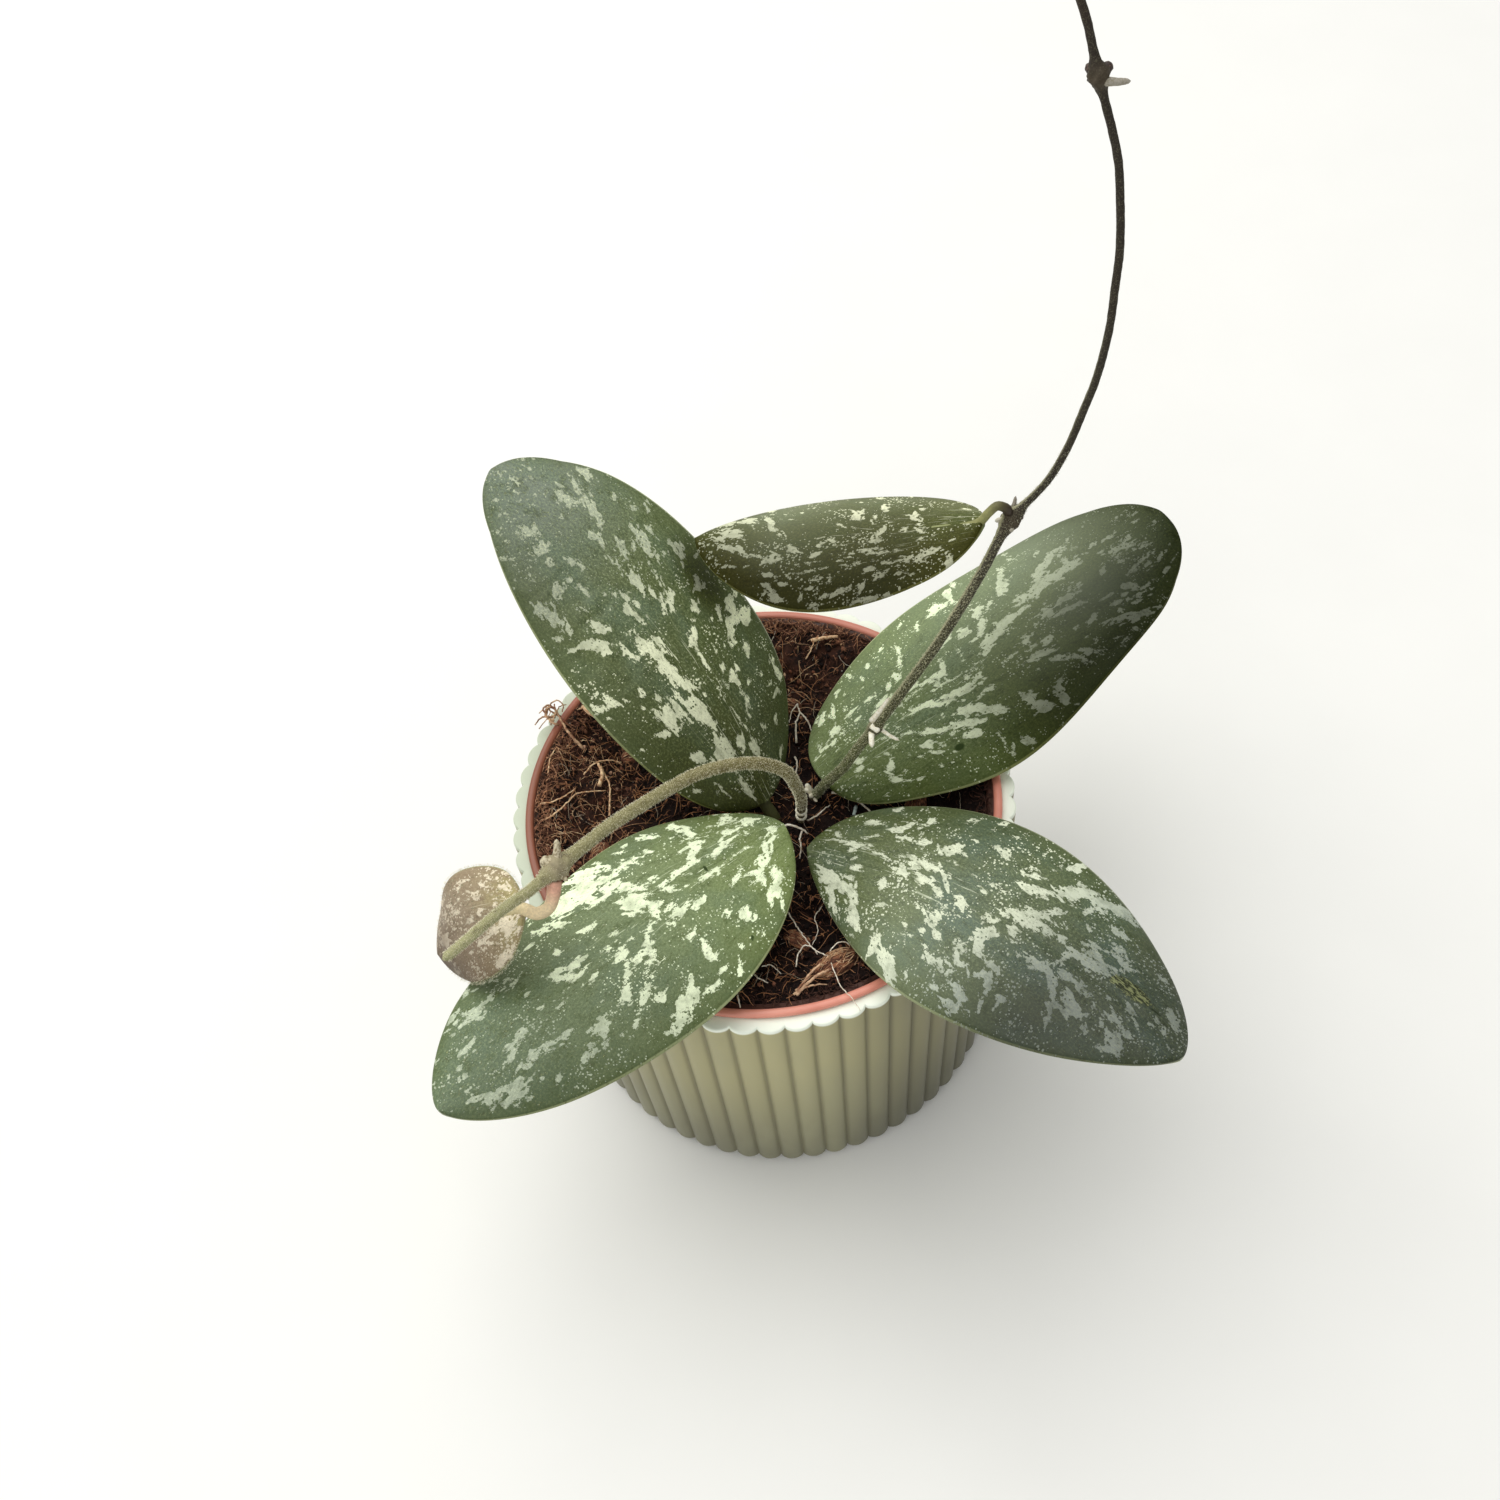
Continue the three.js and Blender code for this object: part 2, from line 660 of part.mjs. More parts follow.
addNode("cachepot", cachepotGeometry(), SAGE);
addNode("nursery_pot", nurseryPotGeometry(), TERRACOTTA);
addNode("soil", soilGeometry(holes), PEAT);
addNode("stem_shoot", stemGeometry(SHOOT), SHOOT_OLIVE);
addNode("stem_vine", stemGeometry(VINE), VINE_BROWN);
for (const [name, leaf] of Object.entries(LEAVES))
  addNode(name, leafGeometry(name, leaf), name === "leaf_young" ? YOUNG_MAUVE : LEAF_GREEN);

export default plant;
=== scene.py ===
# The looks of a potted hoya sigillatis: leaves, stems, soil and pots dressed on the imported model.
# Sizes are millimetres up to the point where a mesh is made, and the frame is the model's own:
# +Z up, -Y to the front, the origin at the centre of the cachepot's base.
import math

import bpy
import numpy as np
from mathutils import Matrix, Vector


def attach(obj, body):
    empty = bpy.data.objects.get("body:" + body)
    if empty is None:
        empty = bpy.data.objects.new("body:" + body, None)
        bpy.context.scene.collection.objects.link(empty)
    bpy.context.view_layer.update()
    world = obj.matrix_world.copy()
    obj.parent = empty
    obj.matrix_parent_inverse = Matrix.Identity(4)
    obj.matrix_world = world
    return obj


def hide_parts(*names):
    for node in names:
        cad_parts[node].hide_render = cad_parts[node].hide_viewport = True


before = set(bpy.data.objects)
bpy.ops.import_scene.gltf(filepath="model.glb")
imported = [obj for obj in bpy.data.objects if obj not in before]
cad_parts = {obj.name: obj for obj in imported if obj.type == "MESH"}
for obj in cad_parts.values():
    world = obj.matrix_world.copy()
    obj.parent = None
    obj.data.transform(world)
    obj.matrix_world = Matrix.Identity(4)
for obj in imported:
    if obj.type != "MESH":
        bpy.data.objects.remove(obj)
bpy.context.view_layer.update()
BODY = "root"
MM = 0.001
GAP = 0.3

# Pots and soil, with the model's sizes
CACHEPOT = {
    "height": 80,
    "groove_radius_top": 54.3,
    "groove_radius_base": 51.6,
    "rib_count": 60,
    "rib_bulge": 1.25,
    "first_groove_angle": -13.8,
    "inner_radius_top": 51.3,
    "inner_radius_base": 47.5,
    "floor_top": 4,
    "base_rounding": 3,
    "rim_rounding": 0.5,
    "points_per_rib": 16,
    "rib_fullness": 0.62,
    "groove_width": 0.1,
}
POT = {
    "segments": 240,
    "lip_top": 81.5,
    "lip_height": 1.2,
    "lip_radius": 52.5,
    "lip_inner_radius": 50.7,
    "step_drop": 0.6,
    "body_radius_top": 50.5,
    "body_radius_base": 38,
    "inner_radius_top": 49.4,
    "inner_radius_base": 36.8,
    "floor_thickness": 1.3,
    "drain_holes": 6,
    "drain_hole_radius": 4,
    "drain_hole_circle": 24,
}
SOIL = {
    "top": 76.3,
    "lump_height": 0.8,
    "crown_height": 0.7,
    "crown_radius": 22,
    "bank": (3.7, 4.3),
    "bank_radii": (35, 48.3),
    "bank_limit": 80.7,
    "top_reach": 48.9,
    "chips": [
        {"at": (10.6, -42.0), "size": (5.2, 2.6, 2.4), "turn": 25},
        {"at": (3.4, -33.5), "size": (3.2, 1.8, 1.6), "turn": -40},
        {"at": (33.5, -4.5), "size": (3.4, 2.2, 1.8), "turn": 70},
        {"at": (-27, 19), "size": (3.6, 1.8, 1.6), "turn": 10},
        {"at": (9, 27), "size": (3.4, 2.1, 1.8), "turn": -15},
        {"at": (-37, -6), "size": (3.0, 1.9, 1.7), "turn": 55},
    ],
}

# Blades, with the model's values: degrees, and base then tip where there are two. Rows of light are
# painted light and shade: how brightly lit the skin is painted at a few places from 0 to 1 along the
# blade: the place, its left side and its right. Rows of a pale painted sheen say the same of that sheen.
# Shades are painted shadows, dips in the painted light, mostly where another blade lies over it: along,
# aside, length, width, turn and depth. A painted shade greys the silver towards the left edge and the
# right.
LEAVES = {
    "leaf_back_left": {
        "base": (0.8, -2.5, 83.7),
        "length": 96.6,
        "width": 44.7,
        "heading": 121.9,
        "sweep": 9.3,
        "pitch": (52.4, 4.1),
        "roll": (11.9, -14.4),
        "fullness": (0.47, 0.6),
        "cup": 0.19,
        "lean": -0.06,
        "round_tip": 0.46,
        "folds": {"depth": 0.26, "along": (28, 80)},
        "light": [
            (0, 0.46, 0.66), (0.3, 0.8, 1.3), (0.5, 1.12, 1.12), (0.7, 0.86, 1.45), (0.88, 1.12, 1.26),
            (1, 1.25, 1.25),
        ],
        "shades": [(48, -17.5, 24, 13, -12, 0.72)],
        "wave": {"left": 0.3, "right": 1.5, "count": 1.64, "phase": -0.13},
        "foot": (2.2, -3.6),
    },
    "leaf_back_right": {
        "base": (13.5, 2.1, 82.5),
        "length": 100.1,
        "width": 48.5,
        "heading": 26.3,
        "sweep": 6.8,
        "pitch": (11.0, 6.9),
        "roll": (-2.8, -6.3),
        "fullness": (0.43, 0.49),
        "cup": 0.13,
        "lean": 0,
        "round_tip": 0.4,
        "light": [
            (0, 1.4, 0.66), (0.3, 2.2, 0.8), (0.5, 1.85, 0.21), (0.7, 1.15, 0.135), (0.88, 0.46, 0.22),
            (1, 0.36, 0.22),
        ],
        "shades": [(75, -5.5, 42, 16, -8, 0.45)],
        "painted_sheen": [(0, 0.08, 0), (0.3, 0.18, 0), (0.55, 0.26, 0), (0.75, 0.3, 0), (0.9, 0.15, 0), (1, 0, 0)],
        "silver_edge_shade": (0, 0.2),
        "wave": {"left": -1.0, "right": 2.7, "count": 1.62, "phase": 0.18},
        "foot": (17.5, 7.0),
    },
    "leaf_front_left": {
        "base": (3.9, -13.6, 90.4),
        "length": 92.3,
        "width": 44.7,
        "heading": 208.8,
        "sweep": 16.9,
        "pitch": (8.8, -3.4),
        "roll": (-3.2, 2.4),
        "fullness": (0.54, 0.62),
        "cup": 0.19,
        "lean": 0.1,
        "light": [(0, 1.7, 1.0), (0.3, 1.4, 1.4), (0.5, 1.02, 1.52), (0.7, 0.88, 1.3), (1, 0.84, 1.24)],
        "silver_edge_shade": (0.14, 0),
        "wave": {"left": -0.5, "right": 1.6, "count": 1.71, "phase": -0.26},
        "foot": (1.2, -14.5),
    },
    "leaf_front_right": {
        "base": (8.3, -17.7, 86.7),
        "length": 90.1,
        "width": 44.9,
        "heading": -30.8,
        "sweep": -27.8,
        "pitch": (17.7, -4.5),
        "roll": (17.9, -12.9),
        "fullness": (0.65, 0.67),
        "cup": 0.18,
        "lean": -0.03,
        "light": [
            (0, 0.72, 0.64), (0.3, 0.95, 1.15), (0.5, 1.12, 0.78), (0.7, 0.95, 0.3), (0.87, 0.5, 0.4),
            (1, 0.45, 0.4),
        ],
        "painted_sheen": [(0, 0, 0), (0.15, 0, 0.04), (0.3, 0, 0.16), (0.48, 0, 0.06), (0.6, 0, 0), (1, 0, 0)],
        "silver_edge_shade": (0, 0.28),
        "wave": {"left": 0.9, "right": 0.5, "count": 1.55, "phase": 0.49},
        "foot": (12.4, -18.6),
    },
    "leaf_vine": {
        "base": (50.9, 19.0, 140.4),
        "length": 63.7,
        "width": 33.8,
        "heading": 160.8,
        "sweep": -2.2,
        "pitch": (-21.0, -11.2),
        "roll": (8.1, 2.3),
        "fullness": (0.58, 0.69),
        "cup": 0.24,
        "lean": 0.03,
        "light": [
            (0, 0.5, 1.5), (0.12, 0.5, 1.4), (0.3, 0.25, 1.3), (0.5, 0.26, 1.3), (0.7, 0.26, 1.4),
            (0.88, 0.36, 1.08), (1, 0.45, 1.1),
        ],
        "painted_sheen": [(0, 0, 0.03), (0.3, 0, 0.1), (0.5, 0, 0.14), (0.72, 0, 0.25), (0.9, 0, 0.1), (1, 0, 0)],
        "wave": {"left": 0.7, "right": 0, "count": 1.23, "phase": -0.06},
    },
    "leaf_young": {
        "base": (-48.1, -37.8, 113.0),
        "length": 29.2,
        "width": 22.5,
        "heading": 171.1,
        "sweep": -0.8,
        "pitch": (-22.1, -63.2),
        "roll": (-21.6, -28.0),
        "fullness": (0.52, 0.55),
        "cup": 0.13,
        "lean": -0.03,
        "light": [(0, 1.35, 1.3), (0.3, 0.9, 1.26), (0.5, 0.68, 1.22), (0.7, 0.56, 1.05), (1, 0.36, 1.0)],
        "wave": {"left": -0.4, "right": -1.2, "count": 1.3, "phase": 0.02},
        "mid_thickness": 1.3,
    },
}
BLADE = {
    "steps": 240,
    "across": 120,
    "under": 16,
    "end_inset": 0.0008,
    "mid_thickness": 1.8,
    "edge_thickness": 0.9,
    "edge_from": 0.95,
    "edge_run": 0.05,
    "midrib_samples": 400,
    "wave_fade": 6.4,
    "round_tip_from": 0.9,
    "relief_fade_from": 0.8,
    "relief_full_width": 4,
}

# Relief on a blade. Midrib forms are a height, how far aside they stand and how wide they are, and they
# lose most of that towards the tip. Noise is a height and a size.
CREASE = (-0.42, 0, 1.0)
CREASE_BANKS = (0.14, 2.4, 1.4)
KEEL = (-0.5, 0, 1.3)
MIDRIB_LOSS = 0.8
QUILTING = (0.16, 9)
PEBBLES = (0.06, 1.9)
PEBBLE_STRETCH = (1, 0.6, 1)
FOLD_SIZE = 2.2
FOLD_STRETCH = 0.3
FOLD_RUN_IN = 12
FOLD_ASIDE = (1, 6)

# The larger silver splashes, in millimetres and degrees: along the midrib from the base, to its left,
# length, width and turn to the left
SPLASHES = {
    "leaf_back_left": [
        (15, 4, 9, 5, 5), (25, 3, 12, 3, 20), (28, 6, 6, 2.5, 10), (35, 2.5, 13, 3, 12),
        (43, 3, 9, 3, 12), (42.5, 1, 6, 1.2, 12), (27.5, 9.5, 6, 3.5, 0), (25.5, 12, 3, 2, 60),
        (36, 10.4, 3, 1.2, 0), (38.5, 16.5, 3.5, 1.5, 30), (44.5, 7.5, 5, 2.2, 20),
        (49.3, 12.5, 8, 2.5, 40), (52.5, 8, 5.5, 2.5, 45), (52, 1, 7, 2, 0), (51, -1, 6, 1.2, 0),
        (47.5, -5, 4, 1.6, -20), (55.5, -3.6, 6, 2, -10), (62, 14, 8.5, 3, 5), (64.5, 10, 4, 2, -40),
        (60.5, 6, 3.5, 1.2, 10), (67, 3, 3.5, 1.8, 10), (79.5, 6, 6, 2, 25), (62, -3.2, 5, 1.4, 0),
        (63, -7.5, 7.5, 2.2, -25), (73, -7.5, 7, 3, -20), (68, -4, 4, 2, 0), (79, -5, 5, 2, -10),
        (80, -9.6, 7, 1.2, -25), (81, -13, 4.5, 2, 0), (61, -12, 9, 2.8, -10), (52, -8, 9, 1.4, -15),
        (39, -6.4, 5, 1.8, -35), (24, -3.8, 20, 0.8, 2), (33, -5, 10, 0.8, -2),
        (21.5, -8.2, 5.5, 1.5, -10), (27, -8.6, 6, 1.6, 5), (32.5, -13, 2.8, 2.2, 0),
        (30, -15.5, 4, 1.6, -40), (36, -17, 9, 2.6, -50), (35, -20.3, 5.5, 3, -40),
        (39.5, -19.5, 6, 3, -50), (47.5, -15.5, 4, 1.4, -50), (56, -17, 6.5, 2.2, -15),
        (67, -17.5, 4, 1.6, -10), (21, -19, 6, 1.4, -10), (5, 3, 5, 1.4, 10), (8, 7.5, 4.5, 1, 15),
        (89, 0.4, 5, 1, 5), (91, -1.5, 4, 0.9, -5),
    ],
    "leaf_back_right": [
        (7, 6, 8.4, 1.7, 13), (9, 7.8, 2.6, 1.8, 40), (12, 12.3, 4.8, 1.8, 65),
        (14.5, 8.8, 4.4, 1.1, 8), (22, 6, 6.4, 1.4, 12), (28, 9.7, 3.4, 1.4, 50),
        (31, 12, 4.4, 1.3, 55), (32.6, 14.5, 4, 1.3, 70), (30.5, 18.8, 2, 1.2, 0),
        (20.7, 18.5, 2.4, 1, -60), (38, 21.2, 2, 1, 30), (25, 17.5, 1.8, 1.2, 60),
        (47, 18, 6.4, 3.2, 20), (53, 21, 6.4, 2.4, 60), (34.5, 7.5, 5, 1.8, 40),
        (42, 9.3, 5.4, 1.8, 35), (43.5, 10.5, 3, 1.4, 10), (37.5, 3.4, 5.2, 1.8, 60),
        (34.6, 2.6, 5, 2, -10), (31.3, 3.6, 3.2, 1, 0), (28, 2.8, 3.2, 1, 0), (24.4, 2.8, 2.4, 1, 0),
        (42.5, 4.4, 3.2, 1.2, 60), (47, 7.2, 4.4, 2.6, 10), (50.5, 7, 5.2, 2.8, 35),
        (49, 5.2, 5.4, 1.1, 15), (52.5, 10.8, 3.8, 2, 20), (56.4, 10, 1.8, 1.2, 20),
        (61.5, 12, 7.4, 2.6, 60), (64.5, 15.5, 4.4, 1.8, 60), (68.5, 17.8, 3.2, 1.4, 60),
        (73.7, 13.7, 2, 1.2, 60), (49, 2, 8.4, 3.2, 15), (54.5, 2.6, 8.4, 2.8, 5),
        (53.5, 0.6, 4.4, 1.2, 40), (60.5, 3, 5.4, 1.2, 10), (63.5, 4.2, 3.4, 1.6, 40),
        (67, 5, 8.4, 2.8, 20), (71, 4, 10.4, 2.8, 0), (75.5, 3.6, 6, 2.2, 0), (69, 7.5, 7.4, 2, 35),
        (73.5, 9.3, 9.4, 2.8, 10), (77.5, 9.7, 4.4, 1.6, 40), (68.5, -1.2, 12.4, 2, 3),
        (63.3, -2, 4.4, 2, 60), (66.5, -4.3, 7.4, 1.4, -12), (60, -0.5, 4.4, 1, -10),
        (39.5, -0.6, 9, 0.8, -8), (34, 0.3, 6, 0.7, -5), (29.5, -2.2, 9.4, 2.4, -20),
        (36, -4, 9.4, 2.2, -10), (41, -3.6, 4, 1.8, 20), (40, -7, 5.4, 1.8, -12),
        (25.5, -1.2, 7, 0.7, -5), (20.5, -4, 4.4, 1, -25), (49.5, -4.7, 3.4, 0.8, 0),
        (54.5, -4.2, 5.8, 1.8, 10), (53.5, -6.5, 5.4, 1.2, -10), (55, -9, 7.4, 1.8, -20),
        (58, -8, 3, 2.6, 0), (35.5, -9.5, 7.4, 2.8, -30), (29.5, -9.6, 8.4, 1.8, -25),
        (33.5, -11.6, 6.4, 2.2, -20), (39, -12, 6.4, 2.2, -40), (26, -7.7, 4.4, 1.2, -30),
        (22.5, -11.7, 3, 1.3, -30), (12, -8.5, 4.4, 2.8, 60), (14.5, -5.5, 3.4, 1.6, -50),
        (8, -3.9, 1.8, 1.3, 0), (46, -14.7, 5.4, 2.4, -55), (46.5, -17.7, 4.4, 3, 0),
        (48.5, -19, 4.4, 1.2, -60), (51.5, -19, 5.4, 2.6, 70), (53, -17, 2.4, 1.6, 0),
        (39.7, -21.3, 3.6, 1.8, -80), (57, -12.3, 3.4, 1.4, -45), (59.5, -15.5, 4.4, 1.4, -60),
        (62.5, -15.5, 4, 1.6, -50), (75, -15.5, 8.4, 2.2, -20), (77, -17, 8.4, 1.6, -5),
        (69.5, -19.6, 4.4, 1.4, -5), (68.5, -10.2, 5.4, 1.6, 15), (76, -10.8, 2.4, 1.6, 0),
        (75.3, -8.3, 3.4, 1.2, -15), (86, -6.6, 5.4, 1.1, 8), (84.5, -7.4, 4, 0.9, 0),
        (82.5, -12.4, 6.4, 1.4, -5), (90.5, -11.2, 5.4, 1.1, 15), (91.5, -8.5, 4.4, 0.8, 10),
        (86.5, -0.8, 5.4, 2.6, -10), (89, 0.6, 6.4, 1.2, 12), (86.5, 3.4, 4.4, 1.2, 15),
        (83, 1.6, 3, 1.6, 0), (87.5, 12.2, 3.4, 0.9, 50), (35.6, -19.3, 4.4, 0.6, 80),
        (36.6, -20.6, 3.4, 0.5, 60),
    ],
    "leaf_front_left": [
        (6.4, 3, 9, 2.2, 35), (8.6, 5, 5, 1.6, 35), (11.6, 6.2, 4.8, 2.2, -10),
        (12.4, 7.5, 2.8, 1.8, 80), (17, 4.9, 5, 1.2, 20), (8.2, 9, 6.4, 1.6, 65),
        (10.6, 11.5, 6.4, 2.8, 40), (11, 14.3, 2.8, 1.2, 60), (19.5, 12.8, 5.2, 3, 55),
        (31.5, 14.2, 4, 2, -80), (28.5, 20.6, 4.4, 2, 50), (31.5, 19.3, 3, 1.1, 10),
        (35, 19.9, 4, 1.6, 25), (41.5, 19, 7.4, 3.8, 35), (46, 21, 7.4, 3.2, 30),
        (50, 22, 5.4, 1.2, 0), (46, 16.2, 2.4, 1.8, 0), (53.5, 16, 4.4, 1.4, 30),
        (48, 13, 7.4, 1.8, 25), (50, 10.5, 5.4, 1.6, 60), (52.3, 10.7, 3.4, 1.4, 30),
        (43, 9.2, 6.4, 1.4, 20), (41, 7.5, 4.4, 2, 60), (44, 6.2, 6.4, 2.2, 10),
        (47.5, 8, 4.4, 1.8, 35), (39.5, 4.8, 3.4, 1.4, 20), (37.3, 3.4, 3.4, 1.2, 10),
        (60, 13.5, 6.4, 1.4, 55), (58.6, 12.3, 3.4, 2.2, 60), (60.5, 11.8, 3.4, 1.8, 0),
        (61.5, 15, 3.4, 1.4, 50), (65.7, 14.7, 4.4, 1.8, 15), (63, 13.6, 3, 1.2, 0),
        (26, 4.7, 3.4, 1.8, 10), (28.5, 4.2, 4.4, 1.6, 5), (31, 4.5, 4.4, 1.8, 15),
        (33.5, 5.3, 2.4, 2, 50), (32, 2.1, 4.4, 1.2, 0), (35, 1, 3.4, 2, 80), (46, 3.6, 3.6, 2.2, 0),
        (44.4, 2.4, 8, 0.8, 0), (53, 3.6, 2.6, 1.4, 0), (55.4, 3.8, 2.6, 1, 0),
        (62, 3.8, 4.2, 1.1, 3), (71.2, 2, 7.4, 1.9, 2), (76, 3.9, 4, 1.4, 10),
        (67.5, 8, 5.8, 2.2, -8), (74.5, 6.8, 7, 2, 10), (80.5, 9.2, 8.4, 2.2, 2),
        (81, 7.5, 6.4, 2.4, -10), (84, 6.5, 3.4, 2.2, 0), (86.3, 4.3, 6.4, 1.8, -25),
        (80, -3.6, 4.4, 2.6, -10), (83.8, -2.8, 2.4, 1.2, 20), (17, 0.9, 9.4, 1.1, 5),
        (20.5, 1.2, 4.4, 1.2, 0), (10, 0.2, 9, 0.6, 2), (45.5, 0.6, 6.4, 1, 0),
        (43.4, -0.9, 4, 0.8, 0), (54, 1, 7.4, 1, 4), (57.3, -1, 6.4, 2, -40),
        (53.5, -1.2, 7.4, 1.6, -8), (57.5, -2.7, 4.8, 1.4, 0), (28.8, -1.2, 3.4, 1.6, -30),
        (24.5, -2.9, 11.4, 1.6, 2), (14.5, -2.7, 7.4, 1.8, 8), (9.5, -4.2, 8.4, 2.4, 5),
        (11, -6, 5.4, 1.2, 0), (20, -4.8, 5.4, 2.2, 30), (18, -6.7, 8.4, 2.2, 5), (8, -8, 3.4, 2, 0),
        (36.4, -3.2, 8, 5.2, -40), (33.5, 0.1, 3.4, 1.4, 0), (32.5, -5.6, 5, 1.1, -20),
        (35, -8, 6.4, 2, -50), (37, -10, 4.4, 2.6, -20), (39.5, -9.6, 4.4, 1.8, 10),
        (42.3, -10.6, 5.4, 2, -60), (44, -11.5, 3.4, 1.2, -70), (42, -14.5, 14.4, 5, -15),
        (39, -17.3, 9.4, 3.2, -40), (46.5, -13, 6.4, 3, -25), (50.5, -12, 4.4, 2.2, -55),
        (53.2, -13.6, 3.8, 2.2, -60), (47, -5.8, 3.4, 1.8, -15), (54.5, -5.8, 3.4, 1.8, -70),
        (64.4, -4, 1.8, 1.6, 0), (26.8, -12, 3.4, 1.6, -45), (30.5, -12.5, 4.4, 1.2, -60),
        (16.8, -10.5, 4.4, 2.8, -75), (18.5, -13, 4.4, 2.2, -40), (23.5, -15, 5.4, 1.6, -20),
        (70.5, -9, 6.4, 1.8, -10), (74, -9.8, 5.4, 2, -25), (76.5, -9, 4.4, 0.9, 0),
        (76.8, -12, 3.8, 1.6, 10), (72, -14.8, 3.4, 1.2, 20), (66, -12, 2.8, 1.2, -60),
        (57, -12.3, 2.4, 1.2, 0),
    ],
    "leaf_front_right": [
        (15, 3.2, 22, 0.75, 2), (26.5, 3.5, 9, 1.3, -3), (31.6, 2.1, 6, 1.7, -45),
        (15.4, 2.1, 14, 0.7, -6), (22.5, 1.3, 8, 0.7, -6), (28, 0.7, 8.4, 1.2, -15),
        (32, -1, 6, 1.5, -38), (17.5, 9.3, 5.4, 2, 45), (13.4, 5.8, 6.4, 0.8, 22),
        (12, 8.7, 2.8, 1.4, 30), (20.4, 7.5, 2.4, 1.6, 0), (28.7, 9.2, 4.6, 2.6, 50),
        (31.8, 8.7, 1.9, 1.2, 0), (39, 12.9, 3, 1.6, -20), (40.3, 5, 6.8, 1.2, 3),
        (40, 3.2, 3.4, 1.2, 0), (22.3, 13.5, 2.4, 1.2, 60), (35, 19.5, 2.4, 1.8, 60),
        (29.5, 17, 2.4, 1, 45), (50.3, 19, 5.4, 2, 75), (46, 11.3, 3.4, 1.8, 10),
        (45, 13.5, 3, 1.2, 70), (48, 9, 8.8, 2.4, 5), (55, 14.4, 9, 3, 30), (60, 16.8, 9, 3.4, 20),
        (53.5, 12.8, 5.4, 2.6, 30), (65, 12.6, 2.8, 1.6, 0), (58.5, 12, 2.6, 1.6, 80),
        (51.5, 4.4, 8.4, 1.8, 12), (50, 1.6, 9.4, 2.8, 5), (49.5, -0.6, 4.4, 2.2, -10),
        (45, -1.5, 3.4, 1.6, 40), (45.5, -4.5, 6.4, 2.8, 30), (45, -7, 4.4, 3, -70),
        (47.5, -8.7, 3.4, 1.8, 0), (38, -1.4, 5.4, 2.4, -30), (33.5, -6.8, 5.4, 2.2, -35),
        (37, -9.6, 5.4, 1.4, -35), (33.3, -10.3, 2.4, 1.4, 0), (42, -9.7, 3.4, 1.4, -35),
        (42.5, -11.5, 5.4, 1.6, -55), (44.7, -12.6, 2.4, 1.6, 0), (51.2, -3.2, 2.4, 1.2, 0),
        (58, -3.9, 9.4, 2.6, 12), (64, -3.3, 7.4, 1.8, -8), (62.4, -5.8, 6.4, 2, -40),
        (68, -8, 7.4, 4, -15), (66.5, -11.5, 5.4, 2.6, -50), (64, 5.5, 5.4, 1.6, 25),
        (66, 4, 5.4, 2.2, 15), (65, 1.8, 11.4, 2.8, 12), (72.5, 3.2, 4, 1.4, 0),
        (69.7, 7.6, 4.4, 2.8, -20), (77.6, -1, 3.9, 2, -15), (79.5, -1.8, 2, 1, -30),
        (72.6, -1.5, 2.4, 0.9, 20), (76, -4.2, 5.4, 2, -10), (79.4, -5, 4.4, 1.4, -20),
        (80, -7.5, 6.4, 2.6, -25), (79.5, -10, 4.4, 1.6, 20), (51.5, -10.3, 4.4, 1.8, -10),
        (50.5, -12.4, 4.9, 1.8, 20), (52.5, -13.8, 3.6, 1.8, -50), (53.5, -17, 4.4, 1.2, -60),
        (48.2, -17, 4.9, 2.4, -20), (47.8, -20.6, 5.4, 3, -10), (57, -15.2, 4.4, 1.6, -60),
        (40.5, -14.3, 8.9, 2.4, -22), (42.7, -18.6, 2, 1.2, 0), (34.7, -18.7, 2.4, 1.2, -60),
        (29.5, -18, 8.9, 3.8, -25), (31, -20, 6.4, 2.2, -20), (23.3, -15.3, 5.8, 2.6, 75),
        (21.4, -8, 2.6, 1.6, 0), (20, -3.9, 2.6, 2, 40), (13.2, -1.7, 2.2, 1.4, 0),
        (14, -8.3, 6, 3.2, -50), (16.6, -11.3, 5, 2.8, -50), (8.4, -5.3, 7.4, 4, -15),
        (9, -8.5, 4.4, 2.8, -70), (10.4, -10.8, 4.4, 1.8, -60), (12, -4.2, 2.6, 1.2, 0),
    ],
    "leaf_vine": [
        (15.5, 12, 4.4, 1.4, 10), (19.5, 11.5, 3, 1.2, 30), (21, 16, 7.4, 1.4, 8),
        (23.7, 13.4, 2.4, 1.6, 70), (28.5, 14, 4.9, 1.4, 15), (31.5, 15, 2.4, 0.8, 0),
        (33.5, 16.4, 3.4, 1.2, -10), (34.5, 13, 2.4, 1.2, 0), (36.7, 14.3, 2.8, 1.2, 70),
        (43, 13.2, 5.4, 1.4, -30), (41.3, 11.4, 2.4, 1.6, 0), (9.5, 7.6, 3.8, 1.8, 20),
        (14, 8.8, 2.4, 0.8, 0), (19, 8.7, 4.4, 1, 5), (24.5, 8, 6.4, 1, 6), (22, 6.2, 11, 1.1, 6),
        (24, 5.4, 6.4, 0.8, 0), (35, 8.9, 7.4, 0.8, 5), (33, 10.5, 3.4, 0.9, 8),
        (44.5, 9.5, 3.8, 1.1, -5), (35.5, 7, 2.4, 0.8, 0), (39, 7.8, 2.4, 0.8, 0),
        (30.7, 5.6, 2.8, 0.7, 0), (40.5, 3, 6, 1.4, -28), (40, 4.2, 2.4, 1.2, 0),
        (49.6, 4.8, 5.8, 0.8, -8), (53.3, 3.7, 6.4, 1.5, -18), (56, 2.4, 3, 0.7, -25),
        (54, 7.2, 3.4, 0.7, -8), (22.3, 0.8, 4.4, 1.8, 80), (24, -2.5, 3.4, 1.2, -60),
        (24.5, -4.5, 2.4, 1.2, -70), (16.7, -0.2, 2.8, 1.6, 70), (13, 0.8, 2.6, 1, -40),
        (14, -2.2, 4.4, 1.4, -55), (15.8, -4.3, 3.8, 2, -60), (27, 1.6, 2.4, 1, 30),
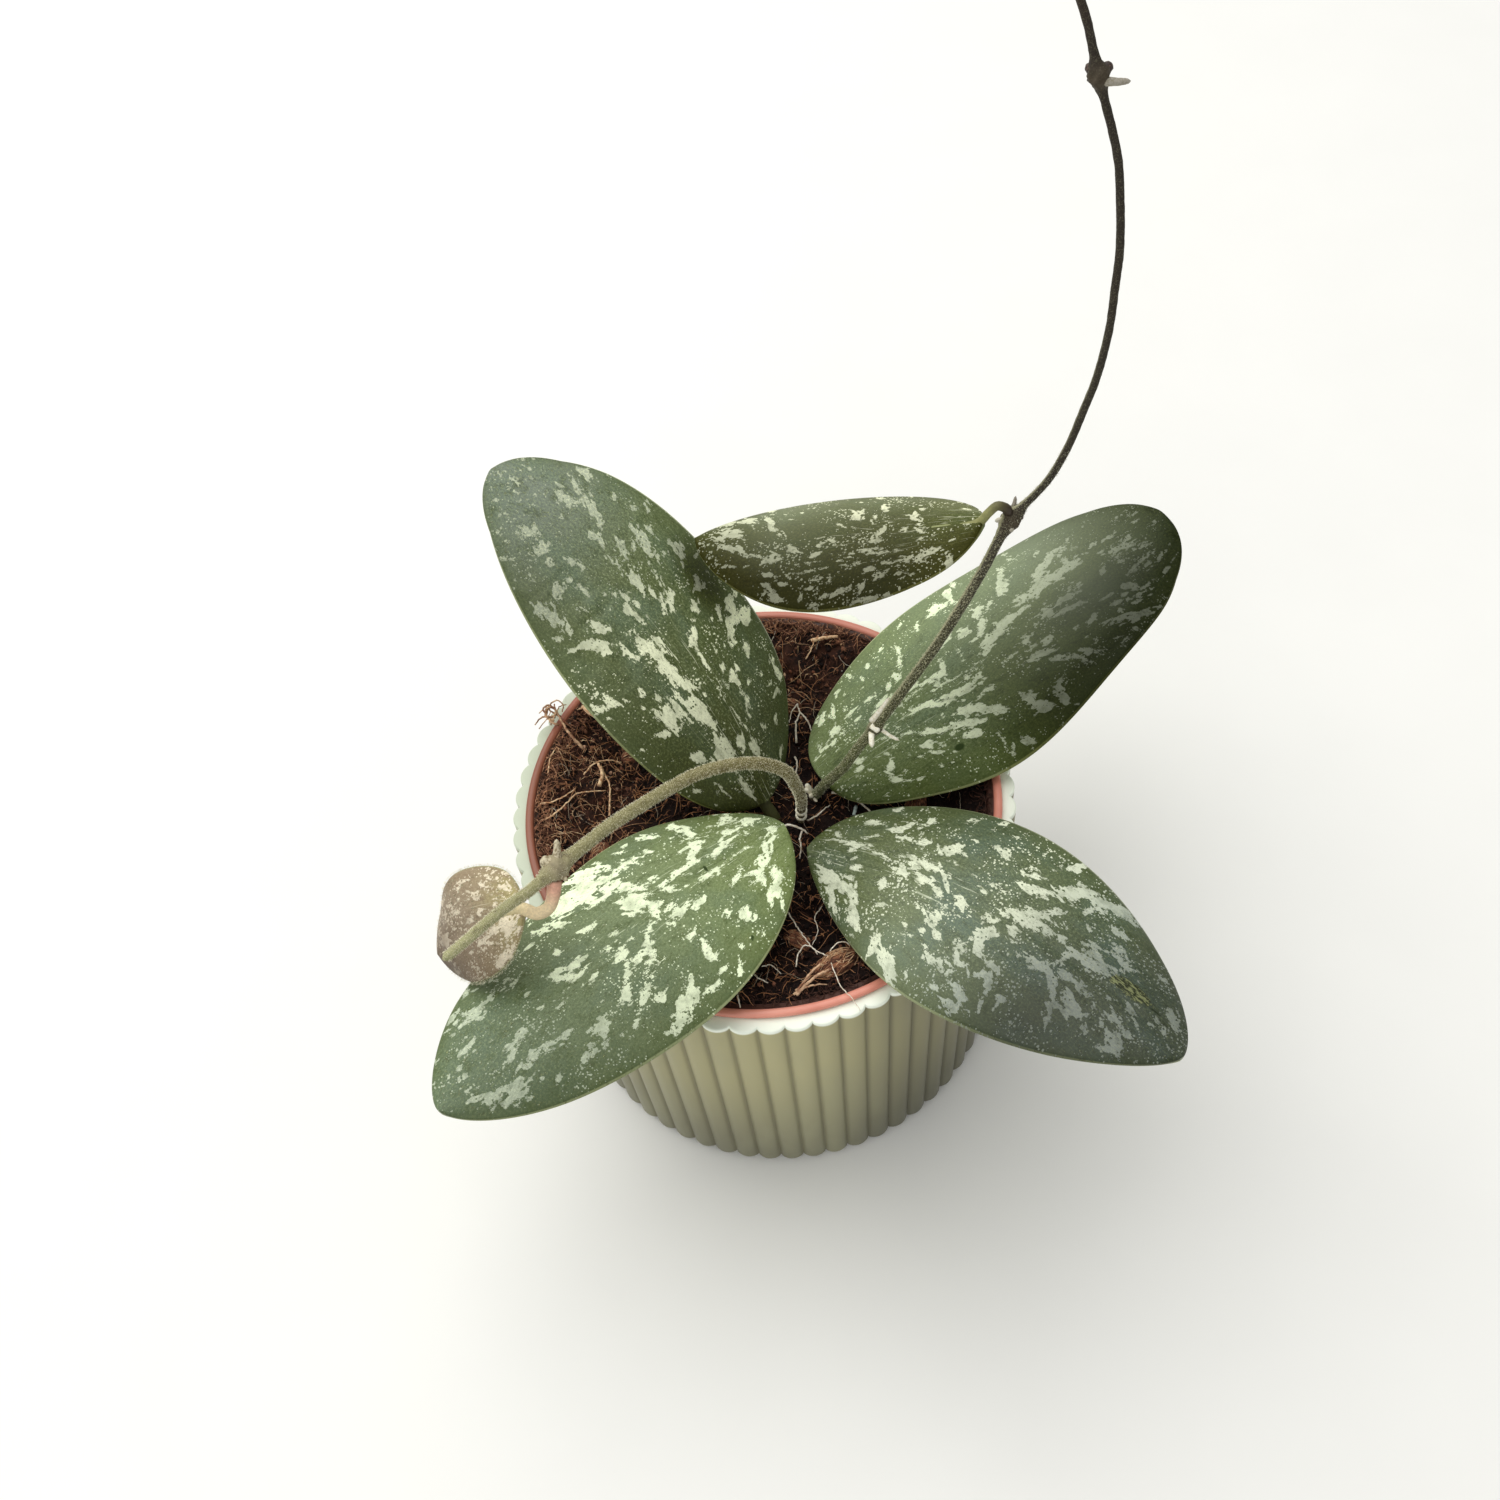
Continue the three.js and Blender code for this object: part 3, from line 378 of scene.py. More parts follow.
        (34.5, 2.8, 1.8, 1.2, 0), (28.3, -6.7, 5, 2.6, -50), (22.7, -8.5, 4.8, 1.6, -65),
        (46, -2.6, 5.4, 1.6, -50), (48, -5.6, 5.4, 1.8, -62), (43.8, -0.8, 2.4, 1, -50),
        (51.3, -3, 4, 0.8, -60),
    ],
    "leaf_young": [
        (11.8, 4.8, 5.8, 1.9, 2), (7.2, 2.7, 4.2, 0.9, 5), (15.5, 4.9, 1.8, 1, 0),
        (10, -2.3, 3, 1, -10), (6.3, -2.3, 1.4, 1, 0), (17, -3.6, 2.6, 1, -30),
        (18.6, -5.6, 2, 0.8, -30), (13.4, -9, 3, 1, 0),
    ],
}

# Veins fan out from behind the base, and torn fragments lie along them: how many there are for each
# square millimetre, and their usual length
VEIN_START = 0.2
VEIN_POWER = 1.7
TEXTURE_FAN = 0.45
FRAGMENTS = {"per_area": 0.085, "length": 0.95}
YOUNG_FRAGMENTS = {"per_area": 0.4, "length": 0.8}
FRAGMENT_PLACES = (0.03, 0.97)
FRAGMENT_EDGE = 0.96
FRAGMENT_TURN = 16
FRAGMENT_SPREAD = (1.3, 0.75)
FRAGMENT_BREADTH = (0.25, 0.75)
OUTSIDE = -2.0
ROW_AT = 0.75
SHADE_EDGE = (0.2, 1.2)
STREAKS_ASIDE = 4.5
STREAKS_END = (0.35, 0.6)
# A blade without a pale painted sheen
NO_PAINTED_SHEEN = [(0, 0, 0), (1, 0, 0)]

# Splash edges: how far strokes bend, and two sizes of tearing, each a height, a length and a breadth
STROKE_BEND = {"share": 0.3, "size": (4.0, 9.0)}
TEARS = [(0.7, (2.1, 0.75), 11), (0.65, (0.8, 0.4), 23)]
TEAR_REACH = {"least": 0.12, "per_breadth": 0.4, "most": 1.05}
STROKE_APART = 37
STROKE_FULLNESS = 0.9
NEAR = (2.5, 2)

# Marks of wear: along the midrib, to its left, length, width and turn
SCARS = {"leaf_front_right": [(74.8, 3.0, 11, 4.2, 3), (72, 2.6, 5, 3, 10)]}
BRUISES = {
    "leaf_back_right": [(27.6, -13.9, 3.4, 2.2, -5)],
    "leaf_front_left": [(21.8, 17, 1.8, 1, 60), (20, -0.6, 2.4, 1, 80)],
    "leaf_front_right": [(80.5, 2.9, 4.4, 0.5, 8)],
}

# Petioles: the four low leaves stand in the soil, the other two hang on a stem's node
PETIOLE = {
    "sides": 20,
    "step": 0.5,
    "radius": 1.5,
    "hole_bottom": 68,
    "straight_top": 77.5,
    "straight_length": 4,
    "blade_reach": 0.17,
    "blade_radius": 0.9,
    "approach": [(0.35, 1.8), (0.6, 0.9), (1, 0.3)],
    "hung_approach": [(0.12, 0), (1, 0.3)],
    "foot_swell": 0.12,
    "foot_run": 0.12,
    "wrinkle_depth": 0.05,
    "wrinkle_size": 1.2,
}
HUNG_PETIOLES = {
    "leaf_vine": {
        "radius": 0.9,
        "node": (56.5, 19.7, 139.5),
        "node_radius": 2.1,
        "arc": [(55.4, 19.6, 142.9), (53.6, 19.7, 143.9), (51.9, 19.4, 142.6)],
    },
    "leaf_young": {
        "radius": 1.3,
        "end_radius": 1.2,
        "node": (-40.6, -33.8, 119.5),
        "node_radius": 2.3,
        "arc": [(-41.8, -37.6, 116.4), (-43.0, -39.3, 114.6), (-45.6, -39.6, 113.4)],
    },
}

# Stems, with the model's routes. Radii and the painted highlight down one side are pairs of the place from
# 0 to 1 and the value there. A nub's tone is 0 where it is white and 1 where it is bark brown.
SHOOT = {
    "route": [
        (8.0, -3.0, 68), (8.0, -4.0, 76), (8.2, -6.1, 84.5), (8.3, -7.8, 91.5), (7.2, -9.2, 99.5),
        (5.5, -10.5, 106.5), (0.6, -11.8, 112.5), (-5.3, -13.2, 115.5), (-11.4, -15.1, 117),
        (-17.5, -18.3, 118), (-23.7, -21.9, 118.5), (-29.7, -25.6, 119), (-34.8, -29.6, 119.5),
        (-40.6, -33.8, 119.5), (-45.7, -37.9, 119.5), (-51.7, -41.4, 119), (-57.5, -45.6, 118.5),
        (-62.9, -49.1, 117.5),
    ],
    "radii": [
        (0, 0.85), (0.1, 0.88), (0.15, 1.05), (0.22, 1.18), (0.3, 1.25), (0.77, 1.25), (0.8, 1.1),
        (1, 0.95),
    ],
    "painted_lit_flank": [(0, 0), (1, 0)],
    "knuckles": [
        {"at": (-40.6, -33.8, 119.5), "radius": 2.3, "length": 2.6},
    ],
    "nubs": [
        {"from": (-40.4, -33.4, 120.2), "to": (-39.6, -30.0, 123.6), "radii": (1.1, 0.5)},
        {"from": (-40.6, -33.8, 120.0), "to": (-43.3, -32.6, 121.0), "radii": (1.4, 1.0)},
        {"from": (-40.6, -33.8, 119.5), "to": (-38.7, -36.2, 118.2), "radii": (0.8, 0.4)},
    ],
}
VINE = {
    "route": [
        (10.9, 3.0, 68), (11.6, 1.7, 76), (12.5, 0, 80.5), (13.8, -1.6, 85.5), (16.0, -2.9, 90.5),
        (18.5, -3.8, 95.5), (21.4, -3.6, 101), (25.2, -3.4, 107.5), (31.8, -1.1, 116.5),
        (39.4, 2.2, 126.5), (48.3, 10.0, 134.5), (56.5, 19.7, 139.5), (58.7, 19.9, 142.4),
        (63.6, 20.6, 148.4), (67.3, 22.6, 154.4), (70.7, 25.6, 161.4), (73.1, 28.0, 166.4),
        (75.8, 32.3, 174.4), (76.9, 35.4, 181), (77.7, 37.8, 187.5), (77.9, 41.2, 194.5),
        (77.6, 44.4, 201.5), (76.3, 46.8, 207.5), (73.7, 48.9, 216.5), (71.8, 51.3, 224.5),
        (70.5, 52.1, 228.5), (67.0, 54.5, 238), (61.5, 57.0, 247.5), (54.5, 59.5, 255),
        (47.0, 61.5, 259.5),
    ],
    "radii": [(0, 1.08), (0.4, 1.02), (0.42, 0.77), (0.85, 0.79), (1, 0.5)],
    "painted_lit_flank": [(0.12, 0), (0.2, 0.55), (0.3, 0.7), (0.4, 0.7), (0.46, 0.3), (1, 0.2)],
    "knuckles": [
        {"at": (12.1, 0.8, 78.4), "radius": 1.15, "length": 1.5},
        {"at": (25.2, -3.4, 107.5), "radius": 1.55, "length": 1.6},
        {"at": (56.5, 19.7, 139.5), "radius": 2.1, "length": 2.6},
        {"at": (73.7, 48.9, 216.5), "radius": 2.0, "length": 2.2},
        {"at": (54.5, 59.5, 255), "radius": 1.1, "length": 1.3},
    ],
    "nubs": [
        {"from": (24.6, -3.4, 107.5), "to": (24.0, -6.9, 105.3), "radii": (0.7, 0.5)},
        {"from": (25.6, -3.2, 107.5), "to": (29.7, -6.0, 105.3), "radii": (0.42, 0.34)},
        {"from": (24.3, -3.7, 108.7), "to": (25.9, -4.9, 108.0), "radii": (0.62, 0.6), "tone": 0.1},
        {"from": (24.6, -2.9, 109.0), "to": (28.6, -1.1, 114.0), "radii": (0.75, 0.35), "tone": 0.25},
        {"from": (11.2, 1.9, 77.8), "to": (10.2, 3.0, 79.8), "radii": (0.7, 0.5), "tone": 0.08},
        {"from": (11.2, 1.3, 78.0), "to": (9.9, 1.5, 80.3), "radii": (0.65, 0.5)},
        {"from": (11.6, 0.8, 78.0), "to": (10.7, -0.5, 80.2), "radii": (0.6, 0.45), "tone": 0.12},
        {"from": (11.6, 1.0, 78.0), "to": (12.0, -1.6, 79.2), "radii": (0.5, 0.3), "tone": 0.4},
        {"from": (56.4, 20.4, 140.2), "to": (58.1, 23.3, 142.0), "radii": (0.6, 0.3), "tone": 0.8},
        {"from": (56.5, 19.7, 139.5), "to": (53.3, 19.8, 139.4), "radii": (0.7, 0.4), "tone": 0.3},
        {"from": (56.5, 19.7, 139.5), "to": (56.2, 16.9, 138.7), "radii": (0.8, 0.45), "tone": 0.6},
        {"from": (56.5, 19.7, 139.5), "to": (58.9, 20.3, 139.9), "radii": (1.2, 0.9), "tone": 1.0},
        {"from": (74.3, 47.9, 215.9), "to": (79.0, 47.5, 215.5), "radii": (0.9, 0.45), "tone": 0.7},
        {"from": (73.7, 48.9, 216.5), "to": (71.9, 50.6, 217.7), "radii": (1.4, 0.8), "tone": 1.0},
        {"from": (73.7, 48.9, 216.5), "to": (76.1, 50.3, 217.5), "radii": (1.4, 0.8), "tone": 1.0},
        {"from": (54.5, 59.5, 255), "to": (54.9, 62.9, 257.4), "radii": (0.6, 0.25), "tone": 0.8},
        {"from": (54.5, 59.5, 255), "to": (52.6, 56.4, 257.0), "radii": (0.6, 0.25), "tone": 0.8},
    ],
}

# The photograph's camera: it looks at the centre of the nursery pot's rim
CAMERA = {
    "distance": 374,
    "elevation": 57.3,
    "roll": -7.85,
    "image": 1500,
    "focal_pixels": 1700,
    "rim_pixel": (761.5, 797.5),
    "sensor": 36,
}


# Numbers and curves


def srgb(red, green, blue):
    """A colour given on a 0 to 255 scale, as the linear colour that shaders take."""
    linear = []
    for level in (red / 255, green / 255, blue / 255):
        linear.append(level / 12.92 if level <= 0.04045 else ((level + 0.055) / 1.055) ** 2.4)
    return (*linear, 1)


def lerp(start, end, share):
    return start + (end - start) * share


def smooth_step(low, high, values):
    share = np.clip((values - low) / (high - low), 0, 1)
    return share * share * (3 - 2 * share)


HASH_PRIMES = (73856093, 19349663, 83492791)
HASH_SEED = 2654435761
HASH_MIX = ((13, 1274126177), (15, 2246822519))
SPLINE_SHARES = np.linspace(0, 1, 25)[:-1, None]


def value_noise(points, seed):
    """Smooth noise from -1 to 1 at points in two or three dimensions, on a lattice of unit cells."""
    cell = np.floor(points).astype(np.int64)
    part = points - cell
    part = part * part * (3 - 2 * part)
    total = np.zeros(points.shape[:-1])
    for corner in np.ndindex(*(2,) * points.shape[-1]):
        mixed = np.full(points.shape[:-1], seed * HASH_SEED & 0xFFFFFFFF)
        for place, prime in zip(np.moveaxis(cell + corner, -1, 0), HASH_PRIMES):
            mixed = mixed ^ (place * prime)
        for shift, factor in HASH_MIX:
            mixed = ((mixed ^ (mixed >> shift)) * factor) & 0xFFFFFFFF
        level = ((mixed ^ (mixed >> 16)) & 0xFFFF) / 32767.5 - 1
        total += level * np.prod(np.where(corner, part, 1 - part), axis=-1)
    return total


def rough_noise(points, size, seed, octaves=3):
    """Noise whose largest lumps are about size across, each octave half as large and half as high."""
    total = np.zeros(points.shape[:-1])
    for octave in range(octaves):
        total += value_noise(points * 2**octave / size, seed + octave) / 2**octave
    return total


def spline(route, step):
    """Points about step apart on the centripetal Catmull-Rom curve through the route."""
    points = np.array(route, float)
    ends = [2 * points[0] - points[1], *points, 2 * points[-1] - points[-2]]
    fine = []
    share = SPLINE_SHARES
    for before, start, end, after in zip(ends, ends[1:], ends[2:], ends[3:]):
        gap0, gap1, gap2 = (
            np.sqrt(np.linalg.norm(b - a)) for a, b in ((before, start), (start, end), (end, after))
        )
        leave = (start - before) / gap0 - (end - before) / (gap0 + gap1) + (end - start) / gap1
        arrive = (end - start) / gap1 - (after - start) / (gap1 + gap2) + (after - end) / gap2
        leave, arrive = leave * gap1, arrive * gap1
        fine.append(
            start
            + leave * share
            + (3 * (end - start) - 2 * leave - arrive) * share**2
            + (2 * (start - end) + leave + arrive) * share**3
        )
    fine = np.vstack([*fine, points[-1:]])
    lengths = np.concatenate([[0], np.cumsum(np.linalg.norm(np.diff(fine, axis=0), axis=1))])
    places = np.linspace(0, lengths[-1], max(2, round(lengths[-1] / step) + 1))
    return np.stack([np.interp(places, lengths, fine[:, axis]) for axis in range(3)], axis=-1)


def unit(vectors):
    return vectors / np.linalg.norm(vectors, axis=-1, keepdims=True)


# Meshes


def add_piece(name, points, faces, materials, attributes=None, face_materials=None):
    """A smooth mesh object from points in millimetres, with numbers or vectors for each point."""
    mesh = bpy.data.meshes.new(name)
    mesh.from_pydata((np.asarray(points) * MM).tolist(), [], faces)
    for key, values in (attributes or {}).items():
        values = np.asarray(values, np.float32)
        if values.ndim == 1:
            mesh.attributes.new(key, "FLOAT", "POINT").data.foreach_set("value", values)
        else:
            mesh.attributes.new(key, "FLOAT_VECTOR", "POINT").data.foreach_set("vector", values.ravel())
    for material in materials:
        mesh.materials.append(material)
    if face_materials is not None:
        mesh.polygons.foreach_set("material_index", np.asarray(face_materials, np.int32))
    mesh.shade_smooth()
    piece = bpy.data.objects.new(name, mesh)
    bpy.context.scene.collection.objects.link(piece)
    return piece


def dress(piece, node=None):
    """Rides a piece on the part's body, and lets it stand for its node in the model."""
    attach(piece, BODY)
    if node:
        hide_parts(node)
    return piece


def ring_faces(rings, count, first=0):
    """Quads between rings of count points each, which run anticlockwise seen from the last ring."""
    faces = []
    for ring in range(rings - 1):
        start = first + ring * count
        for i in range(count):
            j = (i + 1) % count
            faces.append((start + i, start + j, start + j + count, start + i + count))
    return faces


def closed_loft(rings):
    """Points and faces of the closed skin over rings of equal length, with a point in each end."""
    count = len(rings[0])
    points = np.vstack([*rings, rings[0].mean(axis=0), rings[-1].mean(axis=0)])
    faces = ring_faces(len(rings), count)
    first, last = len(points) - 2, len(points) - 1
    top = (len(rings) - 1) * count
    for i in range(count):
        j = (i + 1) % count
        faces.append((first, j, i))
        faces.append((last, top + i, top + j))
    return points, faces


def merged(skins):
    """Points and faces of several skins, as one mesh."""
    points, faces, first = [], [], 0
    for skin, skin_faces in skins:
        points.append(skin)
        faces.extend(tuple(corner + first for corner in face) for face in skin_faces)
        first += len(skin)
    return np.vstack(points), faces


def tube_rings(centres, radii, sides):
    """Rings square to a route, turned as little as the route allows."""
    ways = unit(np.gradient(centres, axis=0))
    helper = np.array([0, 0, 1.0]) if abs(ways[0][2]) < 0.9 else np.array([1.0, 0, 0])
    side = unit(np.cross(helper, ways[0]))
    angles = 2 * np.pi * np.arange(sides) / sides
    rings = []
    for centre, way, radius in zip(centres, ways, radii):
        side = unit(side - way * np.dot(side, way))
        across = np.cross(way, side)
        circle = np.cos(angles)[:, None] * side + np.sin(angles)[:, None] * across
        rings.append(centre + circle * np.reshape(radius, (-1, 1)))
    return rings


def strands(paths, radii, sides=3):
    """Points and faces of many thin closed strands: paths are count x steps x 3, radii count x steps."""
    count, steps, _ = paths.shape
    ways = unit(np.gradient(paths, axis=1))
    reach = paths[:, -1] - paths[:, 0]
    helper = np.where(np.abs(unit(reach))[:, 2:] < 0.8, (0.0, 0.0, 1.0), (1.0, 0.0, 0.0))
    side = unit(np.cross(helper[:, None], ways) + 1e-9)
    across = np.cross(ways, side)
    angles = 2 * np.pi * np.arange(sides) / sides
    circle = (
        np.cos(angles)[:, None] * side[:, :, None] + np.sin(angles)[:, None] * across[:, :, None]
    )
    points = paths[:, :, None] + circle * radii[:, :, None, None]
    size = steps * sides
    faces = []
    one = ring_faces(steps, sides)
    one.append(tuple(reversed(range(sides))))
    one.append(tuple(range(size - sides, size)))
    for strand in range(count):
        faces.extend(tuple(corner + strand * size for corner in face) for face in one)
    return points.reshape(-1, 3), faces


# Shader nodes


def node(tree, kind, inputs=None, **settings):
    """A shader node whose inputs are values or other nodes' sockets."""
    made = tree.nodes.new("ShaderNode" + kind)
    for key, value in settings.items():
        setattr(made, key, value)
    for key, value in (inputs or {}).items():
        if isinstance(value, bpy.types.NodeSocket):
            tree.links.new(value, made.inputs[key])
        else:
            made.inputs[key].default_value = value
    return made


def compute(tree, operation, first, second=0.0):
    return node(tree, "Math", {0: first, 1: second}, operation=operation).outputs[0]


def ramp_between(tree, value, low, high):
    """0 below low, 1 above high and smooth between them."""
    inputs = {"Value": value, "From Min": low, "From Max": high}
    return node(tree, "MapRange", inputs, interpolation_type="SMOOTHSTEP").outputs["Result"]


def scaled_ramp(tree, value, low, high, most):
    return compute(tree, "MULTIPLY", ramp_between(tree, value, low, high), most)


def blend_colours(tree, share, first, second):
    made = node(tree, "Mix", {0: share, 6: first, 7: second}, data_type="RGBA")
    return made.outputs[2]


def layered(tree, colour, *layers):
    """A colour with others laid over it, each given after the share of it that shows."""
    for share, laid in layers:
        colour = blend_colours(tree, share, colour, laid)
    return colour


def noise_of(tree, vector, scale, detail=2.0, roughness=0.5):
    inputs = {"Vector": vector, "Scale": scale, "Detail": detail, "Roughness": roughness}
    return node(tree, "TexNoise", inputs).outputs["Fac"]


def scaled(tree, vector, factors):
    return node(tree, "VectorMath", {0: vector, 1: factors}, operation="MULTIPLY").outputs[0]


def attribute(tree, name, vector=False):
    made = node(tree, "Attribute", attribute_name=name)
    return made.outputs["Vector" if vector else "Fac"]


def cells_of(tree, vector):
    """A Voronoi pattern's cells, and a number from 0 to 1 for each."""
    cells = node(tree, "TexVoronoi", {"Vector": vector, "Scale": 1.0})
    return cells, node(tree, "SeparateColor", {0: cells.outputs["Color"]}).outputs[0]


def specks_of(tree, vector, presence, size):
    """Round specks in the cells of a Voronoi pattern, in the share of cells that presence gives."""
    cells, chance = cells_of(tree, vector)
    grown = compute(tree, "MULTIPLY", compute(tree, "SUBTRACT", presence, chance), size)
    inside = compute(tree, "SUBTRACT", grown, cells.outputs["Distance"])
    return ramp_between(tree, inside, 0.0, 0.06)


def new_material(name, roughness, specular=0.5):
    material = bpy.data.materials.new(name)
    material.use_nodes = True
    shader = material.node_tree.nodes["Principled BSDF"]
    shader.inputs["Roughness"].default_value = roughness
    shader.inputs["Specular IOR Level"].default_value = specular
    return material, material.node_tree, shader


def object_place(tree):
    return node(tree, "TexCoord").outputs["Object"]


def along_axis(tree, vector, axis):
    return node(tree, "SeparateXYZ", {0: vector}).outputs[axis]


def add_bump(tree, shader, height, distance, strength=1.0):
    inputs = {"Height": height, "Distance": distance * MM, "Strength": strength}
    tree.links.new(node(tree, "Bump", inputs).outputs["Normal"], shader.inputs["Normal"])


# Leaves


# Patterns of the skin: on which coordinates, how many lumps to a millimetre along and aside, and the
# noise's detail and roughness
SKIN_NOISES = {
    "cloudy": ("leaf_place", (0.07, 0.1, 1), 3, 0.5),
    "mottled": ("leaf_fan", (0.24, 0.42, 1), 6, 0.72),
    "stipple": ("leaf_place", (1.7, 2.1, 1), 4, 0.85),
    "torn": ("leaf_fan", (1.7, 3.2, 1), 5, 0.7),
    "streak": ("leaf_fan", (0.09, 1.5, 1), 3, 0.6),
    "crowd": ("leaf_place", (0.11, 0.14, 1), 2, 0.5),
    "patchy": ("leaf_place", (0.26, 0.34, 1), 4, 0.65),
    "cracks": ("leaf_fan", (0.5, 3.4, 1), 3, 0.7),
    "pebble": ("leaf_place", (1.1, 1.5, 1), 4, 0.65),
}
FLAKE_CELLS = (1.5, 2.5, 1)
DUST = {"cells": (2.3, 2.6, 1), "presence": 0.46, "size": 1.6}
SPOTS = {"cells": (1.0, 1.2, 1), "presence": 0.12, "size": 3.2}
HOLES = {"cells": (1.3, 1.5, 1), "presence": 0.26, "size": 1.6}
SCAR_COLOURS = {"brink": srgb(62, 66, 30), "crack": srgb(50, 58, 24), "dry": srgb(164, 171, 118)}
BRUISE_COLOUR = srgb(40, 56, 16)
# The colour of a pale painted sheen
PAINTED_SHEEN_COLOUR = srgb(190, 200, 174)


def green_skin(tree, noises, light, colours):
    """The skin without its silver: base to tip, mottled, with a paler margin and a warm tint where the
    painted light is low, a painted shade.
    """
    tone, rim = attribute(tree, "tone"), attribute(tree, "rim")
    # The bluish grey towards the tip and the cool clouds are partly the skin's own tone and partly a painted
    # sheen
    green = layered(
        tree,
        colours["base"],
        (ramp_between(tree, tone, 0.05, 0.5), colours["middle"]),
        (ramp_between(tree, tone, 0.55, 0.9), colours["tip"]),
        (scaled_ramp(tree, noises["cloudy"], 0.42, 0.7, 0.55), colours["cool"]),
        (scaled_ramp(tree, noises["mottled"], 0.48, 0.68, 0.75), colours["dark"]),
        (scaled_ramp(tree, noises["stipple"], 0.5, 0.62, 0.62), colours["fleck"]),
        (scaled_ramp(tree, noises["stipple"], 0.48, 0.38, 0.45), colours["dark"]),
        (compute(tree, "MULTIPLY", rim, 0.6), colours["edge"]),
        (scaled_ramp(tree, rim, 0.94, 0.97, 0.6), colours["margin"]),
    )
    inputs = {0: 1.0, 6: green, 7: colours["shadow"]}
    warm = node(tree, "Mix", inputs, data_type="RGBA", blend_type="MULTIPLY")
    return blend_colours(tree, ramp_between(tree, light, 1.05, 0.3), green, warm.outputs[2])


def silver_marks(tree, place, fan, noises, colours):
    """Where the skin is silver: torn splashes, streaks by the midrib, dust and spots, and the tearing."""
    _, flake = cells_of(tree, scaled(tree, fan, FLAKE_CELLS))
    coarse = compute(tree, "MULTIPLY", flake, 0.4)
    torn = compute(tree, "ADD", coarse, compute(tree, "MULTIPLY", noises["torn"], 1.3))
    inside = compute(tree, "ADD", attribute(tree, "splash"), compute(tree, "SUBTRACT", torn, 0.97))
    patches = ramp_between(tree, inside, 0.0, 0.06)
    streaks = ramp_between(tree, noises["streak"], 0.62, 0.66)
    streaks = compute(tree, "MULTIPLY", streaks, attribute(tree, "streaky"))

    crowd = ramp_between(tree, noises["crowd"], 0.2, 0.75)
    crowd = compute(tree, "MULTIPLY", crowd, colours["speckle"])
    crowds = []
    for specks in (DUST, SPOTS):
        presence = compute(tree, "MULTIPLY", crowd, specks["presence"])
        crowds.append(specks_of(tree, scaled(tree, place, specks["cells"]), presence, specks["size"]))
    dust, spots = crowds
    holes = specks_of(tree, scaled(tree, place, HOLES["cells"]), HOLES["presence"], HOLES["size"])
    marks = compute(tree, "MAXIMUM", patches, streaks)
    marks = compute(tree, "MULTIPLY", marks, compute(tree, "SUBTRACT", 1.0, holes))
    marks = compute(tree, "MAXIMUM", marks, compute(tree, "MULTIPLY", dust, 0.92))
    marks = compute(tree, "MAXIMUM", marks, compute(tree, "MULTIPLY", spots, 0.95))
    return marks, torn


def leaf_material(name, seed, colours):
    """Fleshy mottled skin with torn silver splashes, a crowd of fine specks and a darker margin."""
    material, tree, shader = new_material(name, 0.42, colours["gloss"])
    grounds = {}
    for key in ("leaf_place", "leaf_fan"):
        inputs = {0: attribute(tree, key, vector=True), 1: (0, 0, seed)}
        grounds[key] = node(tree, "VectorMath", inputs, operation="ADD").outputs[0]
    noises = {}
    for key, (ground, lumps, detail, roughness) in SKIN_NOISES.items():
        noises[key] = noise_of(tree, scaled(tree, grounds[ground], lumps), 1.0, detail, roughness)
    light = attribute(tree, "light")
    green = green_skin(tree, noises, light, colours)
    marks, torn = silver_marks(tree, *grounds.values(), noises, colours)

    shown = compute(tree, "MULTIPLY", marks, ramp_between(tree, noises["patchy"], 0.3, 0.55))
    shown = compute(tree, "MULTIPLY", shown, 0.36)
    shown = compute(tree, "ADD", shown, compute(tree, "MULTIPLY", marks, 0.58))
    faded = (ramp_between(tree, attribute(tree, "fade"), *colours["fading"]), colours["silver_tip"])
    flecked = (ramp_between(tree, noises["stipple"], 0.42, 0.7), colours["silver_fleck"])
    silver = layered(tree, colours["silver"], faded, flecked)
    scarred = compute(tree, "ADD", attribute(tree, "scar"), compute(tree, "MULTIPLY", torn, 0.7))
    cracked = ramp_between(tree, noises["cracks"], 0.46, 0.55)
    dry = blend_colours(tree, cracked, SCAR_COLOURS["crack"], SCAR_COLOURS["dry"])
    skin = layered(
        tree,
        green,
        (shown, silver),
        (scaled_ramp(tree, scarred, 0.7, 0.8, 0.55), SCAR_COLOURS["brink"]),
        (ramp_between(tree, scarred, 0.8, 0.88), dry),
        (ramp_between(tree, attribute(tree, "bruise"), 0.15, 0.5), BRUISE_COLOUR),
    )
    # Painted light and shade: the skin is brightened and darkened as if lit, then a pale painted sheen is
    # laid over it
    skin = node(tree, "HueSaturation", {"Value": light, "Color": skin}).outputs[0]
    painted_sheen_layer = (attribute(tree, "painted_sheen"), PAINTED_SHEEN_COLOUR)
    skin = layered(tree, skin, painted_sheen_layer, (attribute(tree, "under"), colours["under"]))
    tree.links.new(skin, shader.inputs["Base Color"])

    rough = compute(tree, "ADD", compute(tree, "MULTIPLY", marks, 0.08), 0.44)
    tree.links.new(rough, shader.inputs["Roughness"])
    height = compute(tree, "ADD", noises["pebble"], compute(tree, "MULTIPLY", marks, 0.2))
    add_bump(tree, shader, height, 0.16, 0.75)
    return material


